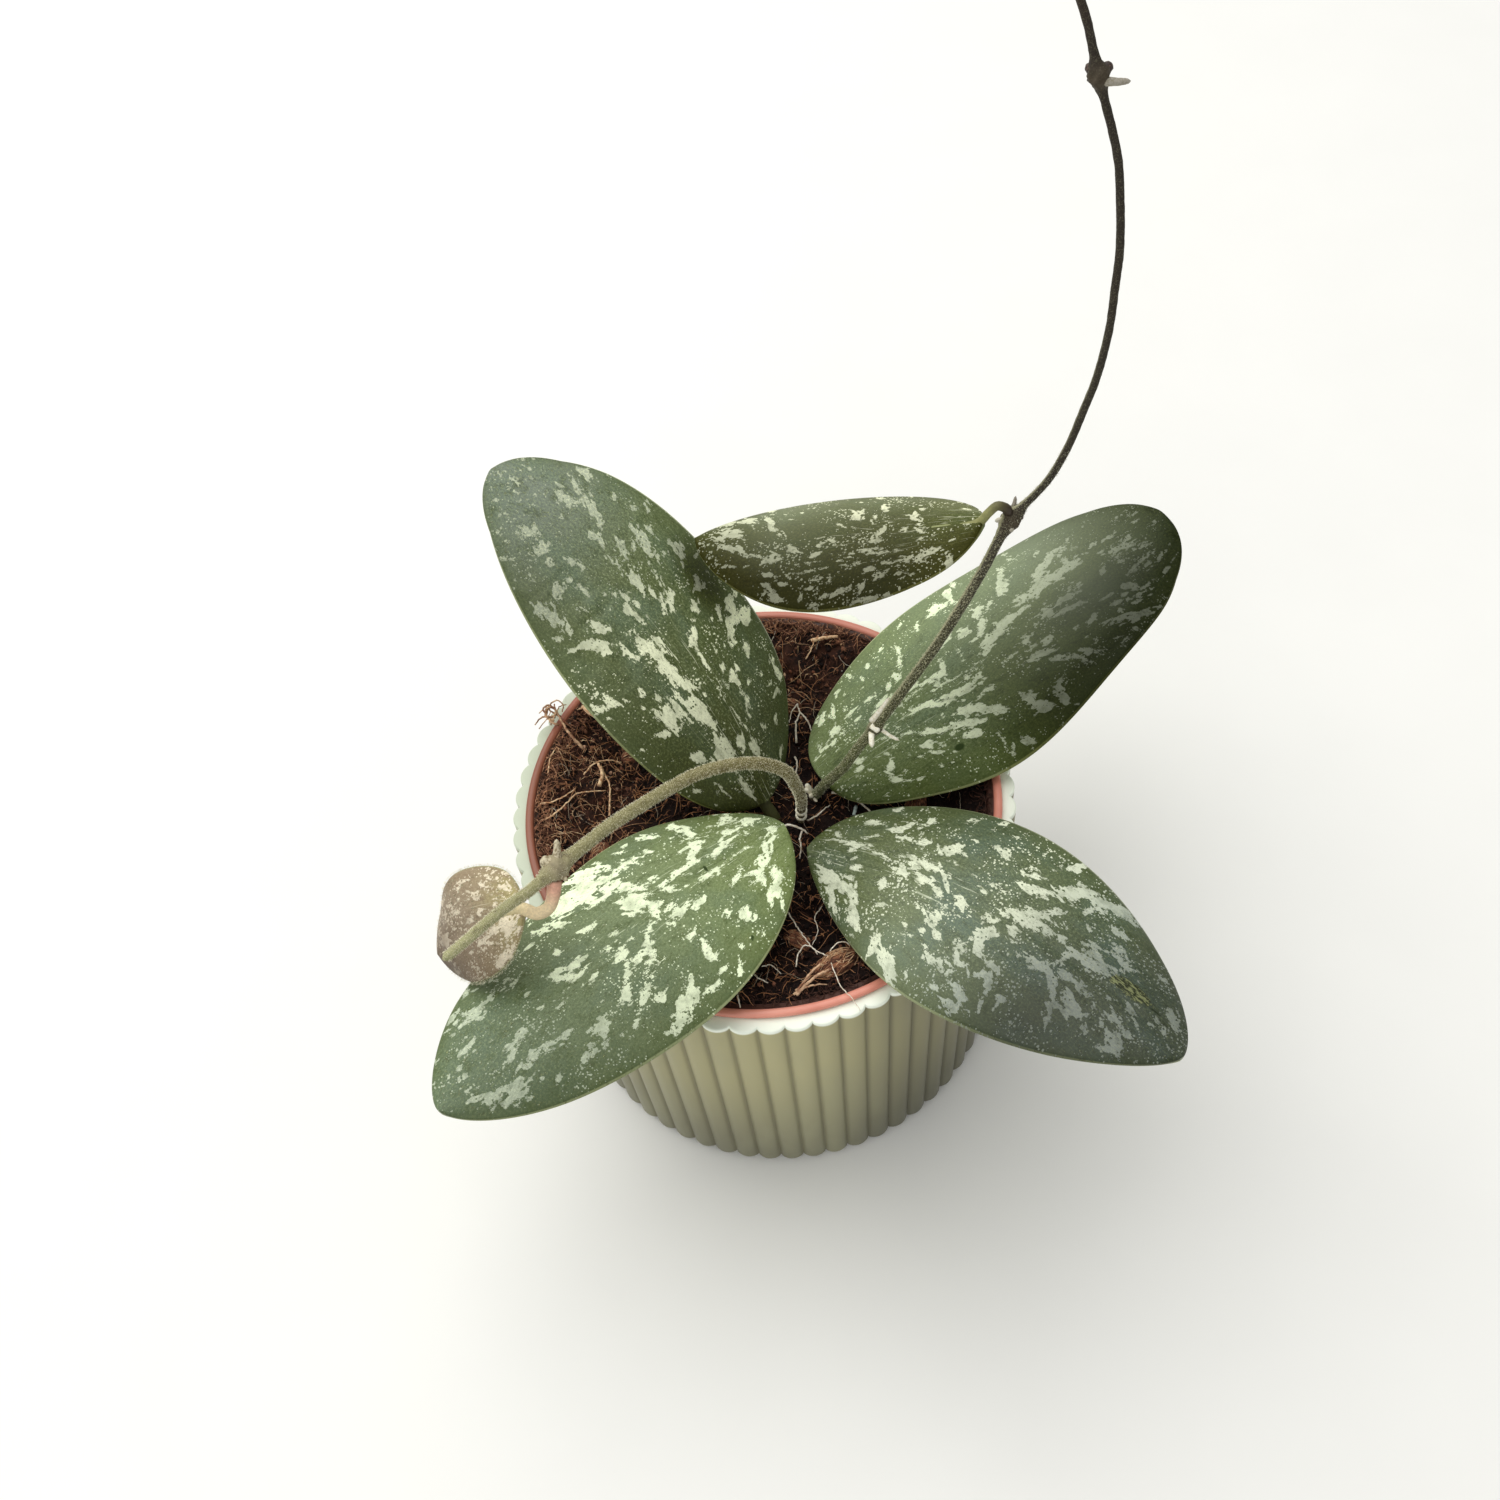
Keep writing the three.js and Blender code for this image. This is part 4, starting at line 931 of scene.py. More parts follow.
# Colours of most blades, and what each blade has of its own
LEAF_COLOURS = {
    "tip": srgb(94, 106, 84),
    "cool": srgb(86, 104, 84),
    "dark": srgb(52, 64, 32),
    "fleck": srgb(136, 148, 106),
    "edge": srgb(70, 82, 38),
    "margin": srgb(170, 178, 132),
    "under": srgb(128, 140, 92),
    "fading": (0.45, 0.85),
    "shadow": (1.0, 0.97, 0.6, 1.0),
    "speckle": 1.0,
    "gloss": 0.28,
}
LEAF_LOOKS = {
    "leaf_back_left": {
        "base": srgb(66, 72, 27),
        "middle": srgb(80, 90, 52),
        "tip": srgb(102, 112, 99),
        "silver": srgb(240, 244, 210),
        "silver_tip": srgb(146, 154, 134),
        "silver_fleck": srgb(204, 210, 174),
        "fading": (0.38, 0.66),
        "shadow": (1.0, 0.97, 0.42, 1.0),
    },
    "leaf_back_right": {
        "base": srgb(96, 110, 64),
        "middle": srgb(96, 110, 74),
        "silver": srgb(224, 233, 202),
        "silver_tip": srgb(198, 206, 182),
        "silver_fleck": srgb(208, 217, 180),
        "gloss": 0.05,
    },
    "leaf_front_left": {
        "base": srgb(108, 122, 74),
        "middle": srgb(102, 116, 82),
        "tip": srgb(92, 108, 82),
        "dark": srgb(70, 84, 44),
        "silver": srgb(228, 238, 204),
        "silver_tip": srgb(166, 176, 154),
        "silver_fleck": srgb(208, 218, 188),
        "fading": (0.55, 0.8),
    },
    "leaf_front_right": {
        "base": srgb(88, 100, 48),
        "middle": srgb(90, 102, 72),
        "tip": srgb(88, 98, 78),
        "shadow": (1.0, 1.0, 1.0, 1.0),
        "cool": srgb(84, 108, 102),
        "silver": srgb(238, 244, 216),
        "silver_tip": srgb(172, 182, 172),
        "silver_fleck": srgb(204, 212, 186),
        "fading": (0.45, 0.78),
        "speckle": 1.15,
    },
    "leaf_vine": {
        "base": srgb(78, 84, 36),
        "middle": srgb(78, 84, 42),
        "tip": srgb(82, 88, 48),
        "cool": srgb(76, 90, 58),
        "dark": srgb(60, 62, 24),
        "fleck": srgb(122, 126, 82),
        "edge": srgb(70, 74, 30),
        "silver": srgb(246, 248, 214),
        "silver_tip": srgb(230, 234, 202),
        "silver_fleck": srgb(216, 218, 184),
        "shadow": (1.0, 0.88, 0.5, 1.0),
        "speckle": 1.2,
        "gloss": 0.05,
    },
    "leaf_young": {
        "base": srgb(150, 142, 92),
        "middle": srgb(144, 129, 107),
        "tip": srgb(134, 118, 98),
        "cool": srgb(146, 130, 112),
        "dark": srgb(118, 100, 80),
        "fleck": srgb(176, 162, 136),
        "edge": srgb(138, 122, 96),
        "silver": srgb(222, 212, 188),
        "silver_tip": srgb(204, 190, 168),
        "silver_fleck": srgb(194, 180, 156),
        "under": srgb(142, 126, 106),
        "shadow": (1.0, 0.9, 0.8, 1.0),
        "speckle": 1.6,
        "gloss": 0.2,
    },
}


def directions_at(leaf, u):
    """Which way a blade runs, its left side and its upper face at each u."""
    heading = np.radians(leaf["heading"] + leaf["sweep"] * u)
    pitch = np.radians(lerp(*leaf["pitch"], u))
    roll = np.radians(lerp(*leaf["roll"], u))[:, None]
    way = np.stack(
        [np.cos(pitch) * np.cos(heading), np.cos(pitch) * np.sin(heading), np.sin(pitch)], axis=-1
    )
    level = np.stack([-np.sin(heading), np.cos(heading), np.zeros_like(heading)], axis=-1)
    upright = np.cross(way, level)
    left = level * np.cos(roll) + upright * np.sin(roll)
    up = upright * np.cos(roll) - level * np.sin(roll)
    return way, left, up


def midrib_points(leaf, u):
    samples = BLADE["midrib_samples"]
    ways, _, _ = directions_at(leaf, (np.arange(samples) + 0.5) / samples)
    steps = ways * leaf["length"] / samples
    nodes = np.vstack([np.zeros(3), np.cumsum(steps, axis=0)]) + leaf["base"]
    places = np.linspace(0, 1, samples + 1)
    return np.stack([np.interp(u, places, nodes[:, axis]) for axis in range(3)], axis=-1)


def half_width_at(leaf, u):
    at_base, at_tip = leaf["fullness"]
    widest = at_base / (at_base + at_tip)
    start = BLADE["round_tip_from"]
    rounder = leaf.get("round_tip", at_tip)
    last = np.where(u > start, ((1 - u) / (1 - start)) ** rounder, 1)
    narrowing = ((1 - np.minimum(u, start)) / (1 - widest)) ** at_tip * last
    return leaf["width"] / 2 * (u / widest) ** at_base * narrowing


def blade_points(leaf, u, t):
    """The blade's middle surface for each u and each t, from -1 at its right edge to 1 at its left,
    with the way up and how far each point lies from the midrib."""
    _, left, up = directions_at(leaf, u)
    wave = leaf["wave"]
    t = t[None, :]
    half = half_width_at(leaf, u)[:, None]
    in_body = np.minimum(BLADE["wave_fade"] * u * (1 - u), 1)
    swing = (np.sin(2 * np.pi * (wave["count"] * u + wave["phase"])) * in_body)[:, None]
    wave_height = np.where(t > 0, wave["left"], wave["right"])
    aside = half * t * (1 + np.sign(t) * leaf["lean"])
    lift = (wave_height * swing - leaf["cup"] * half) * t * t
    points = midrib_points(leaf, u)[:, None] + left[:, None] * aside[..., None]
    return points + up[:, None] * lift[..., None], up[:, None], aside


def scattered_strokes(name, rng):
    """Small fragments between the large splashes, turned the way that the veins run there."""
    length, width = LEAVES[name]["length"], LEAVES[name]["width"]
    fragments = YOUNG_FRAGMENTS if name == "leaf_young" else FRAGMENTS
    strokes = []
    for _ in range(round(length * width * fragments["per_area"])):
        place = rng.uniform(*FRAGMENT_PLACES)
        side = rng.uniform(-1, 1) * half_width_at(LEAVES[name], place) * FRAGMENT_EDGE
        ahead = (place + VEIN_START) * length
        turn = math.degrees(math.atan(VEIN_POWER * side / ahead)) + rng.normal(0, FRAGMENT_TURN)
        size = fragments["length"] * rng.gamma(*FRAGMENT_SPREAD)
        strokes.append((place * length, side, size, size * rng.uniform(*FRAGMENT_BREADTH), turn))
    return strokes


def in_stroke(stroke, along, aside):
    """How far ahead and across each point lies in a stroke's own frame."""
    centre, side, _, _, turn = stroke
    cos, sin = math.cos(math.radians(turn)), math.sin(math.radians(turn))
    ahead = (along - centre) * cos + (aside - side) * sin
    across = (aside - side) * cos - (along - centre) * sin
    return ahead, across


def splash_field(name, along, aside, rng):
    """Millimetres inside the nearest splash, below 0 outside, with torn edges along each stroke."""
    field = np.full(along.shape, OUTSIDE)
    for index, stroke in enumerate(SPLASHES[name] + scattered_strokes(name, rng)):
        size, breadth = stroke[2:4]
        ahead, across = in_stroke(stroke, along, aside)
        near = (np.abs(ahead) < size / 2 + NEAR[0]) & (np.abs(across) < breadth / 2 + NEAR[1])
        ahead, across = ahead[near], across[near]
        where = np.stack([ahead + STROKE_APART * index, across], axis=-1)
        bend = STROKE_BEND["share"] * breadth * value_noise(where / STROKE_BEND["size"], 5)
        radius = np.hypot(ahead / (size / 2), (across + bend) / (breadth / 2))
        torn = sum(height * value_noise(where / tear, seed) for height, tear, seed in TEARS)
        reach = min(TEAR_REACH["most"], TEAR_REACH["least"] + TEAR_REACH["per_breadth"] * breadth)
        inside = (1 - radius) * breadth / 2 * STROKE_FULLNESS + torn * reach
        field[near] = np.maximum(field[near], inside)
    return field


def wear_field(strokes, along, aside):
    """1 at the middle of a mark of wear, 0 at its edge and beyond."""
    field = np.zeros(along.shape)
    for stroke in strokes:
        ahead, across = in_stroke(stroke, along, aside)
        field = np.maximum(field, 1 - np.hypot(ahead / (stroke[2] / 2), across / (stroke[3] / 2)))
    return field


def across_rows(rows, u, t):
    """Values read off at the places given for each side of a blade and blended between them."""
    places, left, right = zip(*rows)
    left, right = np.interp(u, places, left), np.interp(u, places, right)
    return lerp(right[:, None], left[:, None], (np.clip(t / ROW_AT, -1, 1)[None, :] + 1) / 2)


def painted_light(leaf, u, t, along, aside):
    """Painted light and shade on the skin, with painted shadows as dips in it."""
    rows = [(place, math.log(left), math.log(right)) for place, left, right in leaf["light"]]
    light = np.exp(across_rows(rows, u, t))
    for shade in leaf.get("shades", []):
        ahead, across = in_stroke(shade[:5], along, aside)
        away = np.hypot(ahead / (shade[2] / 2), across / (shade[3] / 2))
        light = light * (1 - shade[5] * (1 - smooth_step(*SHADE_EDGE, away)))
    return light


def on_midrib(form, u, aside):
    """A crease or a bank that follows the midrib and dies down towards the tip."""
    height, away, width = form
    return height * np.exp(-(((np.abs(aside) - away) / width) ** 2)) * (1 - MIDRIB_LOSS * u)[:, None]


def blade_relief(leaf, u, t, along, aside, top, seed):
    """How far the skin stands off its smooth form, above and underneath."""
    where = np.stack([along, aside, np.full_like(along, seed)], axis=-1)
    relief = on_midrib(CREASE, u, aside) + on_midrib(CREASE_BANKS, u, aside)
    rough = QUILTING[0] * rough_noise(where, QUILTING[1], seed, 2)
    rough += PEBBLES[0] * rough_noise(where * PEBBLE_STRETCH, PEBBLES[1], seed + 5, 2)
    if "folds" in leaf:
        start, end = leaf["folds"]["along"]
        folded = smooth_step(start, start + FOLD_RUN_IN, along)
        folded = folded * (1 - smooth_step(end - FOLD_RUN_IN, end, along))
        folded = folded * smooth_step(*FOLD_ASIDE, aside)
        folds = rough_noise(where * (1, FOLD_STRETCH, 1), FOLD_SIZE, seed + 8, 2)
        rough += leaf["folds"]["depth"] * folds * folded
    fade = 1 - smooth_step(BLADE["relief_fade_from"], 1, np.abs(t))[None, :]
    small = np.minimum(half_width_at(leaf, u) / BLADE["relief_full_width"], 1)[:, None]
    return np.where(top, relief + rough, on_midrib(KEEL, u, aside)) * fade * small


def build_leaf(name, seed):
    """A blade with its crease, pebbled skin and rounded margin, in one closed mesh."""
    leaf = LEAVES[name]
    rng = np.random.default_rng(seed)
    young = name == "leaf_young"
    steps, across = (BLADE[key] // 2 if young else BLADE[key] for key in ("steps", "across"))
    share = np.linspace(0, 1, steps + 1)
    u = lerp(BLADE["end_inset"], 1 - BLADE["end_inset"], (1 - np.cos(np.pi * share)) / 2)
    t = np.concatenate([np.linspace(1, -1, across + 1), np.linspace(-1, 1, BLADE["under"] + 1)])
    points, up, aside = blade_points(leaf, u, t)
    along = np.broadcast_to((u * leaf["length"])[:, None], aside.shape)
    top = (np.arange(len(t)) <= across)[None, :]

    middle = leaf.get("mid_thickness", BLADE["mid_thickness"])
    thickness = lerp(middle, BLADE["edge_thickness"], t**2) / 2
    past = np.clip(np.abs(t) - BLADE["edge_from"], 0, 1) / BLADE["edge_run"]
    rounding = np.sqrt(np.clip(1 - past**2, 0.02, 1))
    lift = np.where(top, 1, -1) * (thickness * rounding)[None, :]
    lift = lift + blade_relief(leaf, u, t, along, aside, top, seed)
    points = points + up * lift[..., None]

    spread = ((u + VEIN_START) / (0.5 + VEIN_START))[:, None] ** (VEIN_POWER * TEXTURE_FAN)
    flat = np.zeros_like(along)
    near_midrib = np.exp(-((aside / STREAKS_ASIDE) ** 2))
    # How far painted shade greys the silver towards the left edge and the right
    left_silver_shade, right_silver_shade = leaf.get("silver_edge_shade", (0, 0))
    fields = {
        "splash": np.where(top, splash_field(name, along, aside, rng), OUTSIDE),
        "tone": u[:, None],
        "rim": np.abs(t)[None, :] ** 3,
        "streaky": near_midrib * (1 - smooth_step(*STREAKS_END, u))[:, None],
        "under": np.where(top, 0.0, 1.0),
        # Painted light and shade, a pale painted sheen, and the silver's fading, greyed by painted shade at
        # the edges
        "light": painted_light(leaf, u, t, along, aside),
        "painted_sheen": across_rows(leaf.get("painted_sheen", NO_PAINTED_SHEEN), u, t),
        "fade": u[:, None] + left_silver_shade * np.maximum(t, 0) + right_silver_shade * np.maximum(-t, 0),
        "scar": wear_field(SCARS.get(name, []), along, aside),
        "bruise": wear_field(BRUISES.get(name, []), along, aside),
    }
    attributes = {
        "leaf_place": np.stack([along, aside, flat], axis=-1).reshape(-1, 3),
        "leaf_fan": np.stack([along, aside / spread, flat], axis=-1).reshape(-1, 3),
    }
    attributes |= {key: np.broadcast_to(field, aside.shape).ravel() for key, field in fields.items()}
    skin, faces = closed_loft(list(points))
    for key, values in attributes.items():
        attributes[key] = np.concatenate([values, values[:1], values[-1:]])
    material = leaf_material(name, 40.0 * seed, {**LEAF_COLOURS, **LEAF_LOOKS[name]})
    blade = add_piece(name + "_blade", skin, faces, [material], attributes)
    return dress(blade, name)


def petiole_route(name):
    leaf = LEAVES[name]

    def under_blade(share, depth):
        u = np.array([share * PETIOLE["blade_reach"]])
        _, _, up = directions_at(leaf, u)
        return midrib_points(leaf, u)[0] - up[0] * depth

    if "foot" in leaf:
        x, y = leaf["foot"]
        straight_top = PETIOLE["straight_top"]
        start = [(x, y, PETIOLE["hole_bottom"]), (x, y, straight_top - PETIOLE["straight_length"])]
        return [*start, (x, y, straight_top), *(under_blade(*end) for end in PETIOLE["approach"])]
    hung = HUNG_PETIOLES[name]
    centre = np.array(hung["node"])
    first = np.array(hung["arc"][0])
    start = centre + unit(first - centre) * (hung["node_radius"] + GAP)
    return [start, *hung["arc"], *(under_blade(*end) for end in PETIOLE["hung_approach"])]


def petiole_material(name, node_end, middle, blade_end):
    material, tree, shader = new_material(name, 0.55, 0.4)
    place = attribute(tree, "place")
    grain = noise_of(tree, object_place(tree), 1800.0, 3, 0.6)
    colour = layered(
        tree,
        node_end,
        (ramp_between(tree, place, 0.05, 0.35), middle),
        (ramp_between(tree, place, 0.45, 0.95), blade_end),
    )
    dark = node(tree, "HueSaturation", {"Value": 0.78, "Color": colour}).outputs[0]
    colour = blend_colours(tree, ramp_between(tree, grain, 0.35, 0.7), dark, colour)
    tree.links.new(colour, shader.inputs["Base Color"])
    add_bump(tree, shader, grain, 0.08, 0.6)
    return material


def build_petiole(name, seed, material):
    hung = HUNG_PETIOLES.get(name)
    radius = hung["radius"] if hung else PETIOLE["radius"]
    centres = spline(petiole_route(name), PETIOLE["step"])
    places = np.linspace(0, 1, len(centres))
    end_radius = min(radius, PETIOLE["blade_radius"])
    if hung:
        end_radius = hung.get("end_radius", end_radius)
    radii = lerp(radius, end_radius, places**2)
    if hung:
        foot = np.exp(-((places / PETIOLE["foot_run"]) ** 2))
        radii = radii * (1 + PETIOLE["foot_swell"] * foot)
    rings = tube_rings(centres, radii, PETIOLE["sides"])
    points, faces = closed_loft(rings)
    wrinkle = rough_noise(points, PETIOLE["wrinkle_size"], seed, 2)[:, None]
    middle = np.vstack([np.repeat(centres, PETIOLE["sides"], axis=0), points[-2:]])
    points = points + (points - middle) * (wrinkle * PETIOLE["wrinkle_depth"])
    place = np.concatenate([np.repeat(places, PETIOLE["sides"]), [0, 1]])
    piece = add_piece(name + "_petiole", points, faces, [material], {"place": place})
    return dress(piece)


# Stems


def along_pairs(pairs, places):
    return np.interp(places, [place for place, _ in pairs], [value for _, value in pairs])


def stem_material(name, colours, roughness):
    """Fibrous bark that changes colour along the stem, with fine pale specks and a painted highlight down one
    side.
    """
    material, tree, shader = new_material(name, roughness, 0.35)
    place = attribute(tree, "place")
    knob = attribute(tree, "knob")
    where = object_place(tree)
    ramp = node(tree, "ValToRGB", {"Fac": place})
    stops = ramp.color_ramp.elements
    for index, (position, colour) in enumerate(colours["along"]):
        stop = stops[index] if index < 2 else stops.new(position)
        stop.position = position
        stop.color = colour
    speck = noise_of(tree, where, 3400.0, 3, 0.7)
    blotch = noise_of(tree, where, 700.0, 3, 0.6)
    shown = compute(tree, "SUBTRACT", 1.0, scaled_ramp(tree, place, 0.25, 0.5, colours["speck_loss"]))
    shown = compute(tree, "MULTIPLY", ramp_between(tree, speck, 0.5, 0.66), shown)
    # Painted highlight: pale specks down the side that faces one way in the model
    patchy = compute(tree, "MULTIPLY", attribute(tree, "painted_lit_flank"), ramp_between(tree, speck, 0.3, 0.5))
    colour = layered(
        tree,
        ramp.outputs["Color"],
        (shown, colours["speck"]),
        (scaled_ramp(tree, blotch, 0.5, 0.75, 0.6), colours["dark"]),
        (compute(tree, "MULTIPLY", knob, 0.75), colours["knob"]),
        (patchy, colours["speck"]),
    )
    tree.links.new(colour, shader.inputs["Base Color"])
    add_bump(tree, shader, compute(tree, "ADD", speck, blotch), 0.12, 0.8)
    return material


def plain_material(name, light, dark, roughness, grain_scale=1500.0, shaded=False):
    """A grained finish between two colours, darker strand by strand where the piece says so."""
    material, tree, shader = new_material(name, roughness, 0.4)
    grain = noise_of(tree, object_place(tree), grain_scale, 3, 0.6)
    colour = blend_colours(tree, ramp_between(tree, grain, 0.3, 0.7), dark, light)
    if shaded:
        lit = ramp_between(tree, attribute(tree, "shade"), 0.0, 0.9)
        colour = blend_colours(tree, lit, dark, colour)
    tree.links.new(colour, shader.inputs["Base Color"])
    add_bump(tree, shader, grain, 0.08, 0.6)
    return material


NUB_BARK = (srgb(52, 40, 36), srgb(102, 86, 74))


def nub_material(name, light, dark):
    """Woody white at a tone of 0, bark brown at 1."""
    material, tree, shader = new_material(name, 0.6, 0.35)
    grain = noise_of(tree, object_place(tree), 1900.0, 3, 0.65)
    colour = blend_colours(tree, ramp_between(tree, grain, 0.35, 0.62), dark, light)
    bark = blend_colours(tree, ramp_between(tree, grain, 0.4, 0.7), *NUB_BARK)
    colour = blend_colours(tree, attribute(tree, "tone"), colour, bark)
    tree.links.new(colour, shader.inputs["Base Color"])
    add_bump(tree, shader, grain, 0.12, 0.8)
    return material


# A stem's skin: warts swell on its knuckles, and fibres run along it. The painted highlight lies on the
# side that faces one direction in the model, painted pale as if lit from there.
STEM = {
    "sides": 28,
    "step": 0.4,
    "wart_size": 0.9,
    "wart_depths": (0.05, 0.22),
    "fibre_size": 0.6,
    "fibre_depth": 0.03,
    "fibre_stretch": (1, 1, 0.3),
    "blunt_rings": 4,
}
# The way that the painted highlight faces, and how far round it reaches
PAINTED_LIGHT_WAY = unit(np.array([-0.83, 0.27, 0.59]))
PAINTED_LIGHT_EDGE = (0.84, 0.97)
NUB = {"sides": 14, "rings": 12, "bend": 0.06, "blunt_from": 0.8, "blunt_run": 0.2}
NUB_DENTS = [(0.07, 1.6), (0.06, 4.5)]


def stem_radii(stem, centres):
    """A stem's radius at each point of its route, and how far the point is into a knuckle."""
    radii = along_pairs(stem["radii"], np.linspace(0, 1, len(centres)))
    knob = np.zeros(len(centres))
    for knuckle in stem["knuckles"]:
        away = np.linalg.norm(centres - knuckle["at"], axis=1)
        swell = np.exp(-((away / knuckle["length"]) ** 2))
        radii = radii + (knuckle["radius"] - radii) * swell
        knob = np.maximum(knob, swell * min(1, knuckle["radius"] - 1))
    return radii, knob


def build_stem(name, stem, material, nub_material, seed):
    """The stem's swept skin with its knuckles, and its nubs, sunk into them."""
    sides = STEM["sides"]
    centres = spline(stem["route"], STEM["step"])
    places = np.linspace(0, 1, len(centres))
    radii, knob = stem_radii(stem, centres)
    from_tip = np.clip((1 - places) * len(centres) / STEM["blunt_rings"], 0, 1)
    blunt = np.sqrt(np.clip(1 - (1 - from_tip) ** 2, 0.04, 1))
    rings = tube_rings(centres, radii * blunt, sides)
    points, faces = closed_loft(rings)
    middle = np.vstack([np.repeat(centres, sides, axis=0), points[-2:]])
    knob = np.concatenate([np.repeat(knob, sides), [0, 0]])
    place = np.concatenate([np.repeat(places, sides), [0, 1]])
    # Painted highlight on the side that faces that way
    painted_lit_flank = smooth_step(*PAINTED_LIGHT_EDGE, unit(points[:-2] - middle[:-2]) @ PAINTED_LIGHT_WAY)
    painted_lit_flank = np.concatenate([painted_lit_flank * along_pairs(stem["painted_lit_flank"], place[:-2]), [0, 0]])
    low, more = STEM["wart_depths"]
    warts = rough_noise(points, STEM["wart_size"], seed, 3) * (low + more * knob)
    fibres = rough_noise(points * STEM["fibre_stretch"], STEM["fibre_size"], seed + 9, 2)
    points = points + (points - middle) * (warts + fibres * STEM["fibre_depth"])[:, None]
    attributes = {"place": place, "knob": knob, "painted_lit_flank": painted_lit_flank}
    piece = add_piece(name + "_bark", points, faces, [material], attributes)
    dress(piece, name)

    skins, tones = [], []
    for index, nub in enumerate(stem["nubs"]):
        start, end = np.array(nub["from"]), np.array(nub["to"])
        run = np.linspace(0, 1, NUB["rings"])[:, None]
        bend = np.cross(end - start, (0.3, 0.2, 1.0)) * NUB["bend"] * np.sin(np.pi * run)
        path = start + (end - start) * run + bend
        past = np.clip((run[:, 0] - NUB["blunt_from"]) / NUB["blunt_run"], 0, 1)
        tip = np.sqrt(np.clip(1 - past**2, 0.03, 1))
        width = lerp(*nub["radii"], run[:, 0]) * tip
        skin, faces = closed_loft(tube_rings(path, width, NUB["sides"]))
        (broad, broad_lumps), (fine, fine_lumps) = NUB_DENTS
        dents = broad * value_noise(skin * broad_lumps, seed + index)
        dents = dents + fine * value_noise(skin * fine_lumps, seed)
        skins.append((skin + dents[:, None] * unit(skin - path.mean(axis=0)), faces))
        tones.append(np.full(len(skin), nub.get("tone", 0.0)))
    nubs = add_piece(name + "_nubs", *merged(skins), [nub_material], {"tone": np.concatenate(tones)})
    return dress(nubs)


BRACT_STEP = 0.2
BRACT_SWELL = [0.72, 0.9, 0.98, 1, 0.99, 0.94, 0.76]


def build_bracts(name, stem, sleeves, material):
    """Short pale sleeves round a stem's foot, each given by its place and its radius."""
    centres = spline(stem["route"], BRACT_STEP)
    around = len(BRACT_SWELL) // 2
    skins = []
    for at, radius in sleeves:
        middle = np.argmin(np.linalg.norm(centres - at, axis=1))
        line = centres[middle - around:middle + around + 1]
        skins.append(closed_loft(tube_rings(line, radius * np.array(BRACT_SWELL), 24)))
    return dress(add_piece(name, *merged(skins), [material]))


HAIR = {
    "rooted": 0.93,
    "lean": (0.25, 0.3),
    "shake": 0.15,
    "lengths": (0.5, 1.0),
    "taper": (1, 0.4),
    "reach": (0.06, 0.995),
}


def build_hairs(name, centres, radii, count, length, thickness, material, seed, reach=HAIR["reach"]):
    """Short stiff hairs that stand out all round a route."""
    rng = np.random.default_rng(seed)
    where = rng.uniform(*reach, count) * (len(centres) - 1)
    index = np.minimum(where.astype(int), len(centres) - 2)
    part = (where - index)[:, None]
    way = unit(centres[index + 1] - centres[index])
    centre = lerp(centres[index], centres[index + 1], part)
    out = rng.normal(size=(count, 3))
    out = unit(out - way * np.sum(out * way, axis=1, keepdims=True))
    root = centre + out * (radii[index] * HAIR["rooted"])[:, None]
    lean = way * rng.normal(*HAIR["lean"], (count, 1))
    lean = unit(out + lean + rng.normal(0, HAIR["shake"], (count, 3)))
    tip = root + lean * rng.uniform(*HAIR["lengths"], (count, 1)) * length
    paths = np.stack([root, tip], axis=1)
    thin = np.broadcast_to(np.array(HAIR["taper"]) * thickness, (count, 2))
    points, faces = strands(paths, thin)
    return dress(add_piece(name, points, faces, [material]))


# Soil: how far out it lies, up to the pot's wall and on the ledge inside the lip, with the sizes of the
# lumps in its surface as a height, a size and octaves
WALL_REACH = 48.6
SPOT_REACH = 48.2
LEDGE_REACH = 50.4
LEDGE_SPOTS = (47.2, 50.2)
LEDGE_TOP = 81.0
CLODS = (0.75, 4.2, 4)
GRANULES = (0.35, 1.1, 2)
SOIL_SEGMENTS = 420
SOIL_SHARES = np.linspace(1, 0.004, 76)

# Where dry coir lies on top and the soil is painted lit: left of the pot and nearly as much at its back, and
# how little elsewhere, where the soil is darker, partly a painted shade under the blades
DRY_LIT_LEFT = (-37, -24)
DRY_LIT_BACK = (14, 32)
DRY_LIT_BACK_SHARE = 0.9
DRY_LIT_LEAST = 0.24


def soil_height(x, y):
    """The model's lumps, and the soil that banks up against the wall, highest on the left."""
    lumps = np.sin(0.36 * x + 1.7 * np.sin(0.19 * y)) * np.cos(0.41 * y - 1.3 * np.sin(0.23 * x))
    out = np.hypot(x, y)
    crown = np.exp(-((out / SOIL["crown_radius"]) ** 2))
    bank = lerp(*SOIL["bank"], np.clip(-x / np.maximum(out, 1), 0, 1))
    bank = bank * smooth_step(*SOIL["bank_radii"], out)
    height = SOIL["top"] + SOIL["lump_height"] * lumps + SOIL["crown_height"] * crown + bank
    return np.minimum(height, SOIL["bank_limit"])


POT_FLOOR = CACHEPOT["floor_top"] + GAP
POT_INNER_FLOOR = POT_FLOOR + POT["floor_thickness"]
POT_INNER_TOP = POT["lip_top"] - POT["step_drop"]


def pot_inner_radius(z):
    share = (z - POT_INNER_FLOOR) / (POT_INNER_TOP - POT_INNER_FLOOR)
    return lerp(POT["inner_radius_base"], POT["inner_radius_top"], share)


